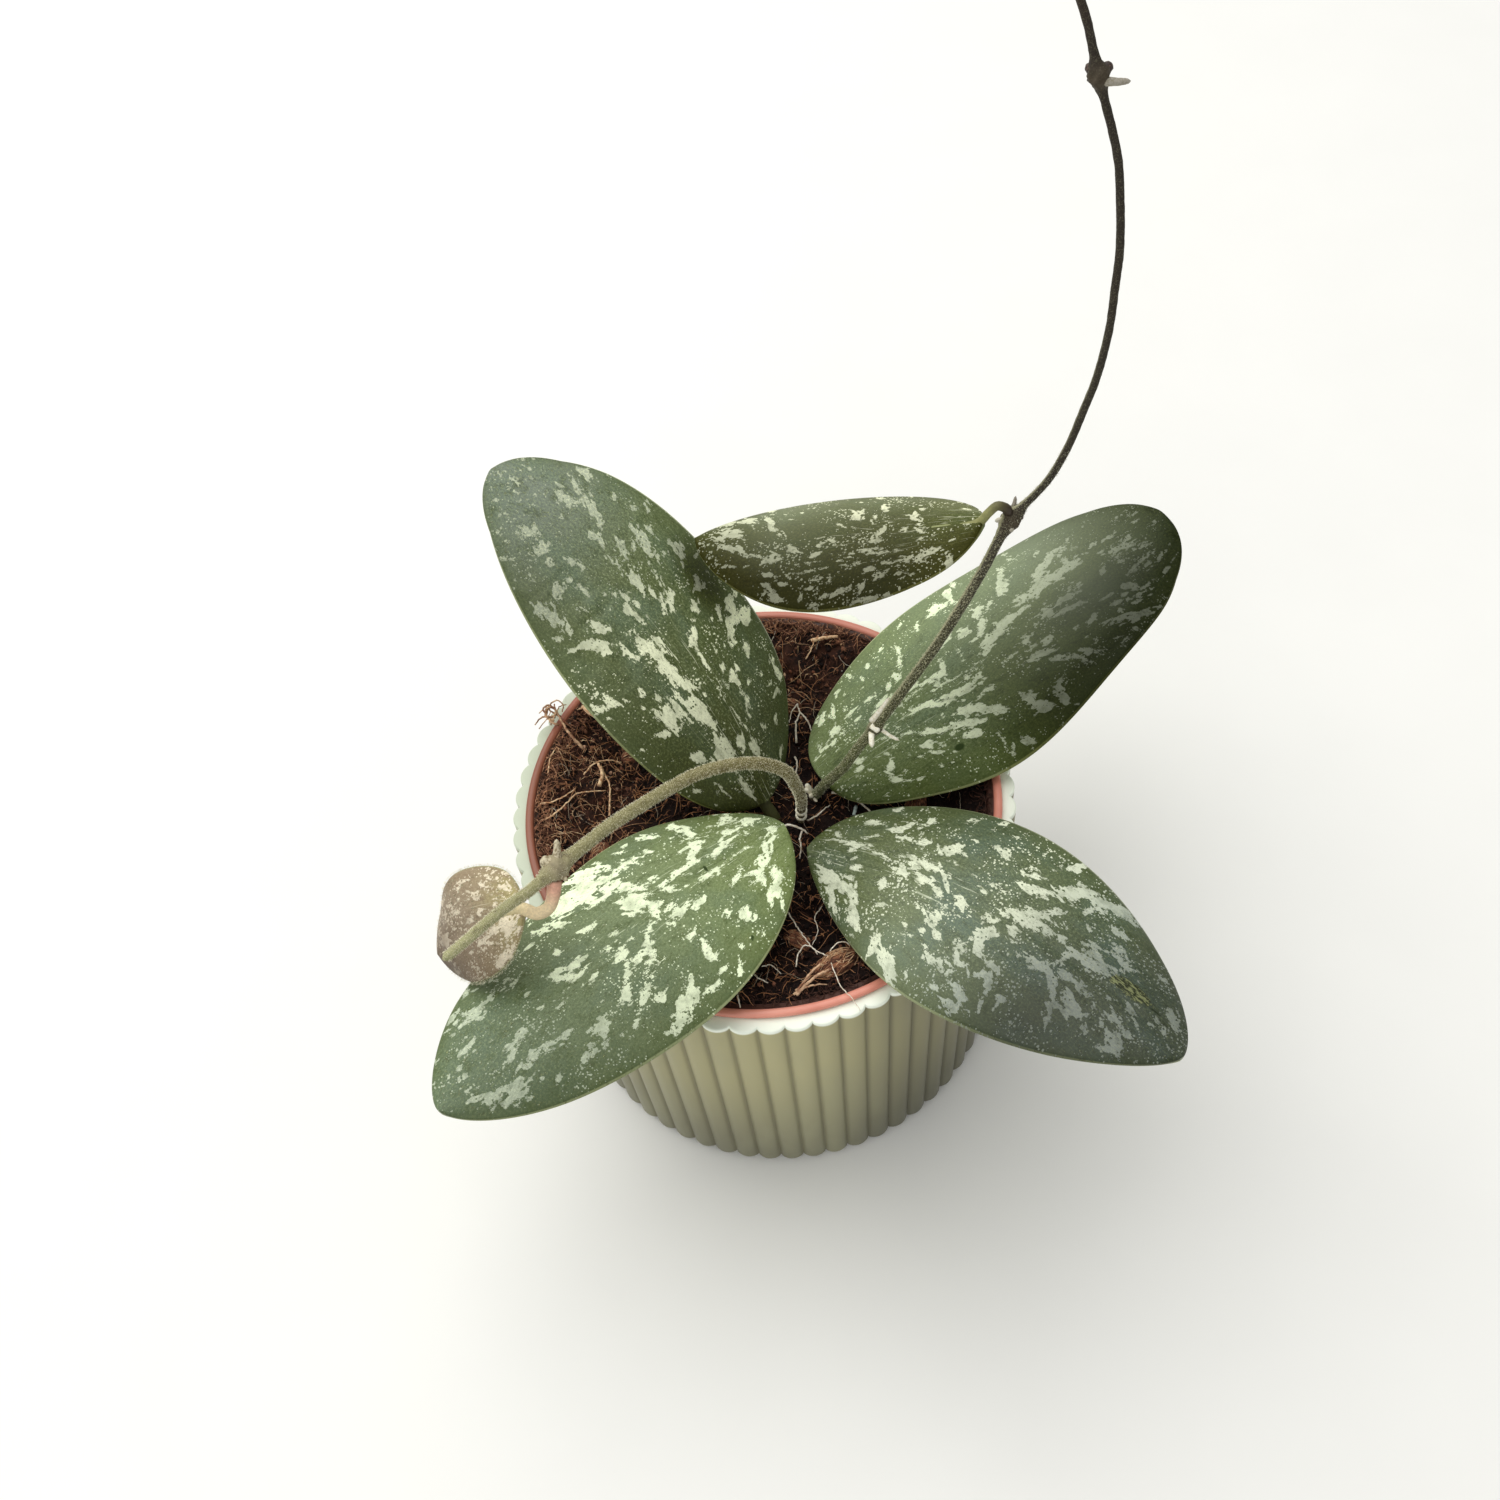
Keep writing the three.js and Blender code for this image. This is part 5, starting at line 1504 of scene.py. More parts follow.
def soil_material(name, dark, middle, light, scale):
    material, tree, shader = new_material(name, 0.88, 0.25)
    where = object_place(tree)
    shade = attribute(tree, "shade")
    coarse = noise_of(tree, where, scale, 4, 0.65)
    fine = noise_of(tree, where, scale * 4, 3, 0.6)
    colour = layered(
        tree,
        dark,
        (ramp_between(tree, coarse, 0.35, 0.65), middle),
        (ramp_between(tree, fine, 0.62, 0.75), light),
        (ramp_between(tree, shade, 0.55, 1.0), light),
        (ramp_between(tree, shade, 0.45, 0.0), dark),
    )
    tree.links.new(colour, shader.inputs["Base Color"])
    add_bump(tree, shader, compute(tree, "ADD", coarse, fine), 0.4, 0.9)
    return material


def build_soil_body(material):
    """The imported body: a rough top over the model's lumps, the pot's inner slope and a flat bottom."""
    angles = 2 * np.pi * np.arange(SOIL_SEGMENTS) / SOIL_SEGMENTS
    circle = np.stack([np.cos(angles), np.sin(angles), np.zeros(SOIL_SEGMENTS)], axis=-1)
    bottom = POT_INNER_FLOOR + GAP
    low_edge = SOIL["top"] - SOIL["lump_height"]
    edge_radius = pot_inner_radius(low_edge) - GAP
    rings = [
        circle * (pot_inner_radius(bottom) - GAP) + (0, 0, bottom),
        circle * edge_radius + (0, 0, low_edge),
    ]
    for share in SOIL_SHARES:
        ring = circle * SOIL["top_reach"] * share
        rough = CLODS[0] * rough_noise(ring, CLODS[1], 3, CLODS[2])
        rough = rough + GRANULES[0] * rough_noise(ring, GRANULES[1], 21, GRANULES[2])
        ring[:, 2] = soil_height(ring[:, 0], ring[:, 1]) + rough * (1 - smooth_step(0.95, 1, share))
        rings.append(ring)
    points, faces = closed_loft(rings)
    # Lighter on the left and back for dry coir and painted light, darker elsewhere, partly a painted shade
    shade = (0.5 + 0.25 * rough_noise(points, 3, 8, 2)) * dry_and_lit(points[:, 0], points[:, 1])
    return dress(add_piece("soil_body", points, faces, [material], {"shade": shade}), "soil")


def spots_on_soil(rng, count, lean_left=0.0, reach=SPOT_REACH):
    """Places spread over the soil, denser on the left if asked."""
    tries = count * 4
    radius = reach * np.sqrt(rng.uniform(0, 1, tries))
    angle = rng.uniform(0, 2 * np.pi, tries)
    x, y = radius * np.cos(angle), radius * np.sin(angle)
    keep = rng.uniform(0, 1, tries) < 0.5 - lean_left * x / reach * 0.5
    return x[keep][:count], y[keep][:count]


# Dry coir and painted light: high on the left and back, low elsewhere, where it is partly a painted shade
def dry_and_lit(x, y):
    left = 1 - smooth_step(*DRY_LIT_LEFT, x)
    back = smooth_step(*DRY_LIT_BACK, y)
    return DRY_LIT_LEAST + (1 - DRY_LIT_LEAST) * np.maximum(left, DRY_LIT_BACK_SHARE * back)


def icosahedron():
    """Its 12 corners at a distance of 1, and its 20 faces."""
    golden = (1 + 5**0.5) / 2
    corners = []
    for a in (-1, 1):
        for b in (-golden, golden):
            corners += [(0, a, b), (a, b, 0), (b, 0, a)]
    corners = unit(np.array(corners, float))
    faces = []
    for i in range(12):
        for j in range(i + 1, 12):
            for k in range(j + 1, 12):
                sides = [np.linalg.norm(corners[a] - corners[b]) for a, b in ((i, j), (j, k), (i, k))]
                if max(sides) < 1.2:
                    out = np.dot(np.cross(corners[j] - corners[i], corners[k] - corners[i]), corners[i])
                    faces.append((i, j, k) if out > 0 else (i, k, j))
    return corners, faces


CRUMB = {"spill_left_of": -20, "dents": (0.72, 1.15), "squash": 0.75, "sunk": (-0.1, 0.5)}


def build_crumbs(name, count, sizes, seed, material, lean_left=0.0):
    """Loose lumps, each a dented icosahedron half sunk into the soil."""
    corners, faces = icosahedron()
    rng = np.random.default_rng(seed)
    x, y = spots_on_soil(rng, count, lean_left, LEDGE_REACH)
    inside = (np.hypot(x, y) < WALL_REACH) | (x < CRUMB["spill_left_of"])
    x, y = x[inside], y[inside]
    count = len(x)
    size = rng.uniform(*sizes, (count, 1, 1)) * rng.uniform(0.5, 1.0, (count, 1, 3))
    lumps = corners[None] * rng.uniform(*CRUMB["dents"], (count, 12, 1)) * size
    axes = np.linalg.qr(rng.normal(size=(count, 3, 3)))[0]
    axes *= np.sign(np.linalg.det(axes))[:, None, None]
    lumps = np.einsum("nij,nkj->nki", axes, lumps)
    lumps[..., 2] *= CRUMB["squash"]
    height = soil_height(x, y) + rng.uniform(*CRUMB["sunk"], count)
    height = np.where(np.hypot(x, y) > WALL_REACH, LEDGE_TOP + 0.2, height)
    lumps += np.stack([x, y, height], axis=-1)[:, None]
    every = [tuple(corner + 12 * lump for corner in face) for lump in range(count) for face in faces]
    # Tone lump by lump, lighter where dry coir lies and painted light falls, darker elsewhere as partly
    # painted shade
    shade = np.repeat(rng.uniform(0, 1, count) * dry_and_lit(x, y), 12)
    return dress(add_piece(name, lumps.reshape(-1, 3), every, [material], {"shade": shade}))


def spots_on_ledge(rng, count, start, end):
    """Places on the pot's inner ledge, between two angles, where the soil spills over it."""
    radius = rng.uniform(*LEDGE_SPOTS, count)
    angle = np.radians(rng.uniform(start, end, count))
    return radius * np.cos(angle), radius * np.sin(angle)


FIBRE = {"wander": 0.12, "slope": 0.16, "above": 0.5, "shake": 0.2}


def build_fibres(
    name, count, lengths, thickness, seed, material, lean_left=0.0, bend=0.8, lift=1.6, steps=7, ledge=None
):
    """Fibres that lie over the soil and stick out of it, denser on the left if asked, or on the ledge."""
    rng = np.random.default_rng(seed)
    x, y = spots_on_ledge(rng, count, *ledge) if ledge else spots_on_soil(rng, count, lean_left)
    count = len(x)
    run = np.linspace(-0.5, 0.5, steps)
    heading = rng.uniform(0, 2 * np.pi, (count, 1))
    curl = rng.normal(0, bend, (count, 1))
    angle = heading + curl * run + FIBRE["wander"] * bend * rng.normal(size=(count, steps))
    size = rng.uniform(*lengths, (count, 1))
    step = size / (steps - 1)
    px = x[:, None] + np.cumsum(np.cos(angle) * step, axis=1) - size / 2 * np.cos(heading)
    py = y[:, None] + np.cumsum(np.sin(angle) * step, axis=1) - size / 2 * np.sin(heading)
    out = np.hypot(px, py)
    shrink = np.where(out > LEDGE_REACH, LEDGE_REACH / out, 1)
    px, py = px * shrink, py * shrink
    arch = rng.uniform(0.0, 1, (count, 1)) ** 2 * lift
    slope = rng.normal(0, FIBRE["slope"], (count, 1)) * size
    pz = soil_height(px, py) + FIBRE["above"] + arch * np.cos(np.pi * run) + slope * run
    pz += FIBRE["shake"] * rng.normal(size=(count, steps))
    pz = np.maximum(pz, np.where(out > WALL_REACH, LEDGE_TOP + 0.1, 0))
    taper = 0.55 + 0.45 * np.cos(np.pi * run)
    radii = rng.uniform(0.5, 1.0, (count, 1)) * thickness * taper
    points, faces = strands(np.stack([px, py, pz], axis=-1), radii)
    # Tone strand by strand, lighter where dry coir lies and painted light falls, darker elsewhere as partly
    # painted shade
    shade = np.repeat(rng.uniform(0, 1, count) * dry_and_lit(x, y), steps * 3)
    return dress(add_piece(name, points, faces, [material], {"shade": shade}))


CHIP = {
    "grain_stretch": (1.6, 5, 5),
    "grain_depth": 0.13,
    "first_fibres": 90,
    "fibres": 34,
    "fibre_radii": (0.05, 0.13),
}
CHIP_FIBRE_TAPER = [0.5, 0.9, 1, 0.8, 0.4]


def place_on_chip(chip, points):
    """Moves points of a unit ball onto one of the model's chips."""
    turn = math.radians(chip["turn"])
    along, across, rise = np.moveaxis(points * chip["size"], -1, 0)
    x = chip["at"][0] + along * math.cos(turn) - across * math.sin(turn)
    y = chip["at"][1] + along * math.sin(turn) + across * math.cos(turn)
    middle = float(soil_height(np.array(chip["at"][0]), np.array(chip["at"][1])))
    return np.stack([x, y, middle + chip["size"][2] * 0.2 + rise], axis=-1)


def build_chips(block, fibre):
    """The model's chips of coir block, rough along their grain, and the fibres that lie on them."""
    rng = np.random.default_rng(37)
    sides = 36
    around = 2 * np.pi * np.arange(sides) / sides
    skins, shades, paths = [], [], []
    for index, chip in enumerate(SOIL["chips"]):
        rings = []
        for climb in np.radians(np.linspace(-86, 86, 26)):
            along, width = np.full(sides, math.sin(climb)), math.cos(climb)
            rings.append(np.stack([along, width * np.cos(around), width * np.sin(around)], axis=-1))
        skin, faces = closed_loft(rings)
        grain = rough_noise(skin * CHIP["grain_stretch"], 1.0, 90 + index, 3)
        skins.append((place_on_chip(chip, skin * (1 + CHIP["grain_depth"] * grain)[:, None]), faces))
        shades.append(0.5 + 0.35 * grain)
        count = CHIP["first_fibres"] if index == 0 else CHIP["fibres"]
        run = np.linspace(0, 1, len(CHIP_FIBRE_TAPER))
        along = rng.uniform(-0.97, 0.6, (count, 1)) + rng.uniform(0.15, 0.6, (count, 1)) * run
        along = np.clip(along, -0.99, 0.97)
        angle = rng.uniform(0.1, 3.0, (count, 1)) + rng.normal(0, 0.3, (count, 1)) * run
        width = np.sqrt(1 - along**2) * rng.uniform(1.0, 1.16, (count, 1))
        route = np.stack([along, width * np.cos(angle), width * np.sin(angle)], axis=-1)
        paths.append(place_on_chip(chip, route))
    points, faces = merged(skins)
    dress(add_piece("soil_chips", points, faces, [block], {"shade": np.concatenate(shades)}))
    paths = np.vstack(paths)
    radii = rng.uniform(*CHIP["fibre_radii"], (len(paths), 1)) * np.array(CHIP_FIBRE_TAPER)
    points, faces = strands(paths, radii)
    shade = np.repeat(rng.uniform(0.2, 1, len(paths)), len(points) // len(paths))
    return dress(add_piece("soil_chip_fibres", points, faces, [fibre], {"shade": shade}))


STRAND_SHAKE = 0.06


def build_laid_strands(name, routes, seed, material):
    """Roots and fibres laid one by one: each a route with its radius at the start and the end."""
    rng = np.random.default_rng(seed)
    skins = []
    for route, thick, thin in routes:
        line = spline(route, 0.5)
        line = line + STRAND_SHAKE * rng.normal(size=line.shape)
        run = np.linspace(0, 1, len(line))
        skins.append(closed_loft(tube_rings(line, lerp(thick, thin, run), 8)))
    points, faces = merged(skins)
    return dress(add_piece(name, points, faces, [material], {"shade": np.ones(len(points))}))


# Strands laid one by one: the route of each, then its radius at the start and the end
WHITE_ROOTS = [
    ([(15.5, 0.2, 79.3), (17.7, -1.2, 80.2), (19.7, -2.9, 80.6), (22.1, -5.1, 80.2),
      (24.1, -7.4, 78.8)], 0.3, 0.2),
    ([(9.3, -5.5, 78.4), (10.3, -5.8, 79.3), (11.6, -5.2, 79.5), (13.2, -3.8, 79.1),
      (14.8, -2.2, 78.2)], 0.2, 0.12),
    ([(9.5, 15.4, 78.2), (9.8, 17.9, 78.9), (10.1, 20.1, 79.2), (11.3, 23.0, 79.2),
      (11.1, 25.6, 78.6)], 0.24, 0.14),
    ([(11.3, 23.0, 79.2), (12.1, 21.7, 79.2), (12.7, 20.4, 79.1), (13.5, 17.8, 78.2)], 0.22, 0.15),
    ([(11.1, 25.6, 79), (9.8, 23.8, 79.1), (8.6, 21.2, 78.2)], 0.18, 0.1),
    ([(8.7, 11.4, 78.6), (9.0, 8.9, 79.4), (8.4, 7.1, 78.6)], 0.24, 0.16),
    ([(2.8, -6.1, 78.8), (4.0, -6.8, 79.6), (5.7, -7.1, 79.8), (7.4, -7.9, 79.4),
      (9.0, -8.9, 78.4)], 0.34, 0.2),
    ([(7.8, -8.2, 78.8), (7.0, -10.6, 79.2), (7.0, -12.7, 79.0), (6.3, -14.8, 78.2)], 0.24, 0.12),
    ([(2.2, -28.6, 80.2), (4.3, -34.0, 80.8), (6.7, -38.7, 81.0), (9.1, -40.9, 81.6), (9.8, -44.4, 82.2),
      (10.9, -48.4, 82.0), (12.4, -51.0, 82.2), (13.9, -53.8, 81.4)], 0.15, 0.09),
    ([(2.3, -41.2, 79.6), (3.2, -38.8, 80.6), (4.9, -37.2, 81.0), (6.3, -38.1, 80.8),
      (7.1, -39.4, 80.2)], 0.16, 0.12),
    ([(-4.7, -40.2, 79.8), (-3.0, -40.4, 80.6), (-1.9, -41.5, 80.4), (-1.0, -42.4, 79.8)], 0.14, 0.1),
    ([(-6.5, -41.7, 79.8), (-5.5, -43.3, 80.6), (-3.9, -44.2, 80.2)], 0.18, 0.12),
    ([(9.6, -39.8, 81.8), (11.5, -38.5, 82.4), (13.2, -38.5, 82.2), (13.9, -39.1, 81.6)], 0.13, 0.1),
    ([(-10.4, -45.6, 80.8), (-10.3, -47.4, 81.6), (-10.1, -49.6, 81.6)], 0.2, 0.12),
    ([(9.6, -27.3, 78.4), (7.7, -30.2, 79.5), (7.9, -33.6, 79.4), (6.3, -36.2, 78.6)], 0.11, 0.07),
]
CHIP_STRAWS = [
    ([(1.6, -48.0, 80.4), (4.0, -46.4, 81.6), (7.0, -45.0, 82.6), (9.0, -44.4, 82.6)], 0.4, 0.22),
    ([(3.0, -46.0, 80.6), (5.0, -44.2, 81.8), (7.4, -43.0, 82.8)], 0.32, 0.2),
    ([(1.0, -47.9, 80.6), (3.4, -47.0, 81.2), (6.2, -46.6, 81.0), (8.4, -46.6, 80.2)], 0.3, 0.12),
    ([(1.6, -47.2, 80.8), (3.6, -45.8, 81.4), (5.2, -44.6, 81.4)], 0.26, 0.1),
]
BLUISH_STUB = [([(20.4, -3.5, 77.8), (20.1, -5.0, 79.8), (19.5, -6.8, 79.9)], 0.42, 0.38)]
STRAWS = [
    ([(-49.0, 6.4, 81.3), (-46.3, 6.4, 81.6), (-43.1, 7.5, 81.6), (-41.0, 9.3, 81.0)], 0.2, 0.12),
    ([(-49.0, 1.9, 81.3), (-46.3, 2.7, 81.7), (-43.2, 5.1, 81.8), (-40.6, 7.6, 81.6), (-37.5, 7.9, 81.2),
      (-34.1, 8.2, 80.4)], 0.2, 0.12),
    ([(-33.9, 1.8, 79.8), (-33.4, 5.5, 80.8), (-33.2, 9.2, 81.0), (-34.1, 12.3, 80.6),
      (-34.8, 15.1, 80)], 0.24, 0.14),
    ([(-38.9, 13.1, 80.6), (-36.4, 15.2, 81.2), (-33.5, 15.8, 81.2), (-30.2, 15.2, 80.4)], 0.2, 0.12),
    ([(-35.6, 9.6, 80.4), (-34.6, 12.4, 81.1), (-35.6, 15.8, 80.9)], 0.55, 0.3),
    ([(-46.8, 14.4, 81.2), (-45.9, 18.2, 81.8), (-44.4, 21.0, 81.6)], 0.18, 0.12),
    ([(-33.5, 27.0, 81.4), (-36.4, 28.9, 82.0), (-38.0, 31.2, 82.0)], 0.6, 0.4),
    ([(16.7, 41.6, 80.9), (19.5, 41.4, 81.6), (22.9, 41.7, 81.1)], 0.55, 0.3),
    ([(14.6, 37.0, 80.2), (16.2, 39.3, 80.9), (17.2, 41.4, 81.1)], 0.16, 0.12),
]
TUFT = [
    ([(-44.6, 27.4, 82.6), (-46.2, 28.6, 83.4), (-46.0, 30.4, 83.8), (-44.4, 30.6, 83.6), (-44.0, 29.0, 83.2),
      (-45.4, 28.6, 83.0)], 0.34, 0.2),
    ([(-44.2, 30.8, 83.0), (-45.8, 31.4, 83.8), (-46.8, 30.2, 84.0), (-46.0, 28.8, 83.8)], 0.28, 0.16),
    ([(-43.6, 26.2, 82.6), (-45.2, 27.0, 83.2), (-46.4, 28.6, 83.2), (-47.6, 28.4, 83.0)], 0.3, 0.14),
    ([(-38.6, 20.5, 80.2), (-40.6, 22.6, 82), (-42.6, 26.4, 82.6), (-44.0, 30.6, 82.8),
      (-44.4, 32.4, 82.4)], 0.42, 0.16),
    ([(-46.3, 28.7, 82.6), (-45.7, 30.6, 83.4), (-44.2, 32.1, 83.9), (-42.9, 32.1, 83.8), (-42.2, 30.9, 83.2),
      (-42.7, 29.8, 82.6)], 0.2, 0.14),
    ([(-49.0, 27.0, 82.9), (-47.5, 28.5, 83.3), (-46.1, 28.7, 83.1), (-44.2, 28.6, 82.5)], 0.14, 0.26),
    ([(-43.0, 28.6, 82.5), (-45.1, 29.9, 83.3), (-46.2, 31.0, 83.7), (-47.8, 29.8, 83.2)], 0.26, 0.12),
    ([(-45.4, 26.6, 82.6), (-44.0, 29.0, 83.1), (-43.0, 30.9, 83.3), (-41.6, 31.8, 82.6)], 0.2, 0.12),
    ([(-48.2, 26.0, 82.4), (-46.6, 27.2, 83.4), (-45.2, 29.4, 83.6), (-45.6, 31.6, 83.2)], 0.12, 0.1),
]


# Pots


# Above this height the pot's inside is darkened: partly a peat stain and partly painted shade in the recess
STAIN_AND_SHADE_ABOVE = 70


def level_ring(radius, z, angles):
    return np.stack([radius * np.cos(angles), radius * np.sin(angles), np.full(len(angles), z)], axis=-1)


def build_nursery_pot(material):
    """Thin moulded pot: rolled lip, sloping wall and a floor with drain holes."""
    lip_bottom = POT["lip_top"] - POT["lip_height"]
    middle = (POT["lip_radius"] + POT["lip_inner_radius"]) / 2
    roll = (POT["lip_radius"] - POT["lip_inner_radius"]) / 2
    profile = [
        (0, POT_FLOOR),
        (POT["body_radius_base"] - 1, POT_FLOOR),
        (POT["body_radius_base"], POT_FLOOR + 1),
        (POT["body_radius_top"], lip_bottom),
        (POT["lip_radius"] - 0.2, lip_bottom),
        (POT["lip_radius"], lip_bottom + 0.2),
    ]
    for angle in np.radians(np.linspace(0, 180, 13)):
        profile.append((middle + roll * math.cos(angle), POT["lip_top"] - 0.55 * (1 - math.sin(angle))))
    profile += [
        (POT["lip_inner_radius"] - 0.1, POT_INNER_TOP - 0.05),
        (POT["inner_radius_top"] + 0.25, POT_INNER_TOP),
        (POT["inner_radius_top"], POT_INNER_TOP - 0.25),
        (POT["inner_radius_base"], POT_INNER_FLOOR),
        (0, POT_INNER_FLOOR),
    ]
    segments = POT["segments"]
    angles = 2 * np.pi * np.arange(segments) / segments
    rings = []
    for radius, z in profile:
        rings.append(level_ring(max(radius, 0.02), z, angles))
    points, faces = closed_loft(rings)
    pot = add_piece("nursery_pot_shell", points, faces, [material])
    drills = []
    for hole in range(POT["drain_holes"]):
        turn = 2 * math.pi * hole / POT["drain_holes"]
        centre = np.array([math.cos(turn), math.sin(turn), 0]) * POT["drain_hole_circle"]
        ends = [centre + (0, 0, POT_FLOOR - 2), centre + (0, 0, POT_INNER_FLOOR + 2)]
        drills.append(closed_loft(tube_rings(np.array(ends), [POT["drain_hole_radius"]] * 2, 32)))
    drill = add_piece("drill", *merged(drills), [material])
    cut = pot.modifiers.new("drain_holes", "BOOLEAN")
    cut.object = drill
    cut.operation = "DIFFERENCE"
    cut.solver = "EXACT"
    graph = bpy.context.evaluated_depsgraph_get()
    pot.data = bpy.data.meshes.new_from_object(pot.evaluated_get(graph))
    pot.modifiers.clear()
    bpy.data.objects.remove(drill)
    pot.data.shade_smooth()
    corners = np.empty(len(pot.data.vertices) * 3, np.float32)
    pot.data.vertices.foreach_get("co", corners)
    corners = corners.reshape(-1, 3) / MM
    out = np.hypot(corners[:, 0], corners[:, 1])
    # Darkened inside the lip: partly a peat stain and partly painted shade
    peat_stain_and_shade = (out < POT["lip_inner_radius"] - 0.05) & (corners[:, 2] > STAIN_AND_SHADE_ABOVE)
    stain_and_shade_layer = pot.data.attributes.new("peat_stain_and_shade", "FLOAT", "POINT")
    stain_and_shade_layer.data.foreach_set("value", peat_stain_and_shade.astype(np.float32))
    return dress(pot, "nursery_pot")


def build_cachepot(material):
    """Ribbed outer pot, its ribs running out in a scalloped rim."""
    height, bulge = CACHEPOT["height"], CACHEPOT["rib_bulge"]
    per_rib = CACHEPOT["points_per_rib"]
    count = CACHEPOT["rib_count"] * per_rib
    index = np.arange(count)
    angles = np.radians(CACHEPOT["first_groove_angle"] - 90) + 2 * np.pi * index / count
    across_rib = (index % per_rib) / per_rib
    rib = np.sin(np.pi * across_rib) ** CACHEPOT["rib_fullness"]

    def ring(z, inset):
        groove = lerp(CACHEPOT["groove_radius_base"], CACHEPOT["groove_radius_top"], z / height)
        return level_ring(groove - inset + bulge * rib, z, angles)

    base, rim = CACHEPOT["base_rounding"], CACHEPOT["rim_rounding"]
    rings = []
    for turn in np.radians(np.linspace(0, 90, 7)):
        rings.append(ring(base * (1 - math.cos(turn)), base * (1 - math.sin(turn))))
    for z in np.linspace(base, height - rim, 8)[1:-1]:
        rings.append(ring(z, 0))
    for turn in np.radians(np.linspace(0, 90, 6)):
        rings.append(ring(height - rim * (1 - math.sin(turn)), rim * (1 - math.cos(turn))))
    top, floor = CACHEPOT["inner_radius_top"], CACHEPOT["inner_radius_base"]
    inside = [
        (height, top + 0.4),
        (height - 0.12, top + 0.12),
        (height - 0.4, top),
        (CACHEPOT["floor_top"] + 1.5, floor),
        (CACHEPOT["floor_top"], floor - 1.5),
    ]
    outer = len(rings)
    rings += [level_ring(radius, z, angles) for z, radius in inside]
    points, faces = closed_loft(rings)
    groove = np.exp(-((np.minimum(across_rib, 1 - across_rib) / CACHEPOT["groove_width"]) ** 2))
    groove = np.concatenate([np.tile(groove, outer), np.zeros(len(inside) * count + 2)])
    attributes = {"groove": groove, "height": points[:, 2] / height}
    return dress(add_piece("cachepot_shell", points, faces, [material], attributes), "cachepot")


def cachepot_material():
    """Sage plastic, with painted shade darker and cooler towards the base, in its grooves, on its right and a
    little on its left, and the rim's top painted white as if lit, greyer at its far left.
    """
    material, tree, shader = new_material("sage_plastic", 0.45, 0.4)
    where = object_place(tree)
    height = attribute(tree, "height")
    cloud = noise_of(tree, scaled(tree, where, (1, 1, 0.35)), 70.0, 3, 0.6)
    colour = layered(
        tree,
        # Painted shade: darker and cooler towards the base
        srgb(126, 124, 100),
        (ramp_between(tree, height, 0.0, 0.8), srgb(178, 172, 127)),
        (scaled_ramp(tree, cloud, 0.4, 0.75, 0.5), srgb(160, 158, 124)),
        # Painted shade in the grooves
        (compute(tree, "MULTIPLY", attribute(tree, "groove"), 0.55), srgb(104, 98, 66)),
    )
    # Painted shade on the right and a little on the left
    side = along_axis(tree, where, 0)
    right, left = (scaled_ramp(tree, side, 0.0, *reach) for reach in ((0.028, 0.44), (-0.03, 0.13)))
    value = compute(tree, "SUBTRACT", 1.0, compute(tree, "ADD", right, left))
    colour = node(tree, "HueSaturation", {"Value": value, "Color": colour}).outputs[0]
    # The rim's top painted white as if lit, against the painted shade of the sides; greyer at the far left
    far_left = ramp_between(tree, side, -0.03, -0.048)
    white = blend_colours(tree, far_left, srgb(249, 255, 241), srgb(202, 211, 190))
    colour = blend_colours(tree, ramp_between(tree, height, 0.983, 0.994), colour, white)
    tree.links.new(colour, shader.inputs["Base Color"])
    add_bump(tree, shader, noise_of(tree, where, 3000.0, 2), 0.02, 0.5)
    return material


def terracotta_material():
    """Satin terracotta coloured plastic, darker towards its back, painted shade on its left, and darkened
    inside the lip, partly a peat stain and partly painted shade.
    """
    material, tree, shader = new_material("terracotta_plastic", 0.38, 0.5)
    where = object_place(tree)
    cloud = noise_of(tree, where, 60.0, 3, 0.6)
    grain = noise_of(tree, where, 3000.0, 2, 0.5)
    x, y = (along_axis(tree, where, axis) for axis in (0, 1))
    colour = layered(
        tree,
        srgb(214, 134, 115),
        (ramp_between(tree, cloud, 0.35, 0.7), srgb(229, 153, 134)),
        # Darker towards the back
        (scaled_ramp(tree, y, -0.01, 0.04, 0.4), srgb(176, 104, 84)),
        # Painted shade on the left
        (ramp_between(tree, x, -0.03, -0.05), srgb(142, 85, 64)),
        # Inside the lip: partly a peat stain and partly painted shade
        (compute(tree, "MULTIPLY", attribute(tree, "peat_stain_and_shade"), 0.93), srgb(34, 19, 14)),
    )
    tree.links.new(colour, shader.inputs["Base Color"])
    add_bump(tree, shader, grain, 0.02, 0.5)
    return material


# Camera, light and floor


def add_camera():
    """The photograph's camera, rolled about its view and turned until the rim's centre is on its pixel."""
    elevation, roll = math.radians(CAMERA["elevation"]), math.radians(CAMERA["roll"])
    back = Vector((0, -math.cos(elevation), math.sin(elevation)))
    right = Vector((1, 0, 0))
    up = back.cross(right)
    across = right * math.cos(roll) + up * math.sin(roll)
    upward = up * math.cos(roll) - right * math.sin(roll)
    place = back * CAMERA["distance"] + Vector((0, 0, POT["lip_top"]))
    centre = CAMERA["image"] / 2
    column, row = (pixel - centre for pixel in CAMERA["rim_pixel"])
    pan = Matrix.Rotation(math.atan(column / CAMERA["focal_pixels"]), 3, upward)
    across, back = pan @ across, pan @ back
    tilt = Matrix.Rotation(math.atan(row / CAMERA["focal_pixels"]), 3, across)
    upward, back = tilt @ upward, tilt @ back
    data = bpy.data.cameras.new("camera")
    data.sensor_width = CAMERA["sensor"]
    data.lens = CAMERA["focal_pixels"] / CAMERA["image"] * CAMERA["sensor"]
    data.clip_start = 0.01
    camera = bpy.data.objects.new("camera", data)
    turn = Matrix((across, upward, back)).transposed().to_4x4()
    camera.matrix_world = Matrix.Translation(place * MM) @ turn
    bpy.context.scene.collection.objects.link(camera)
    bpy.context.scene.camera = camera


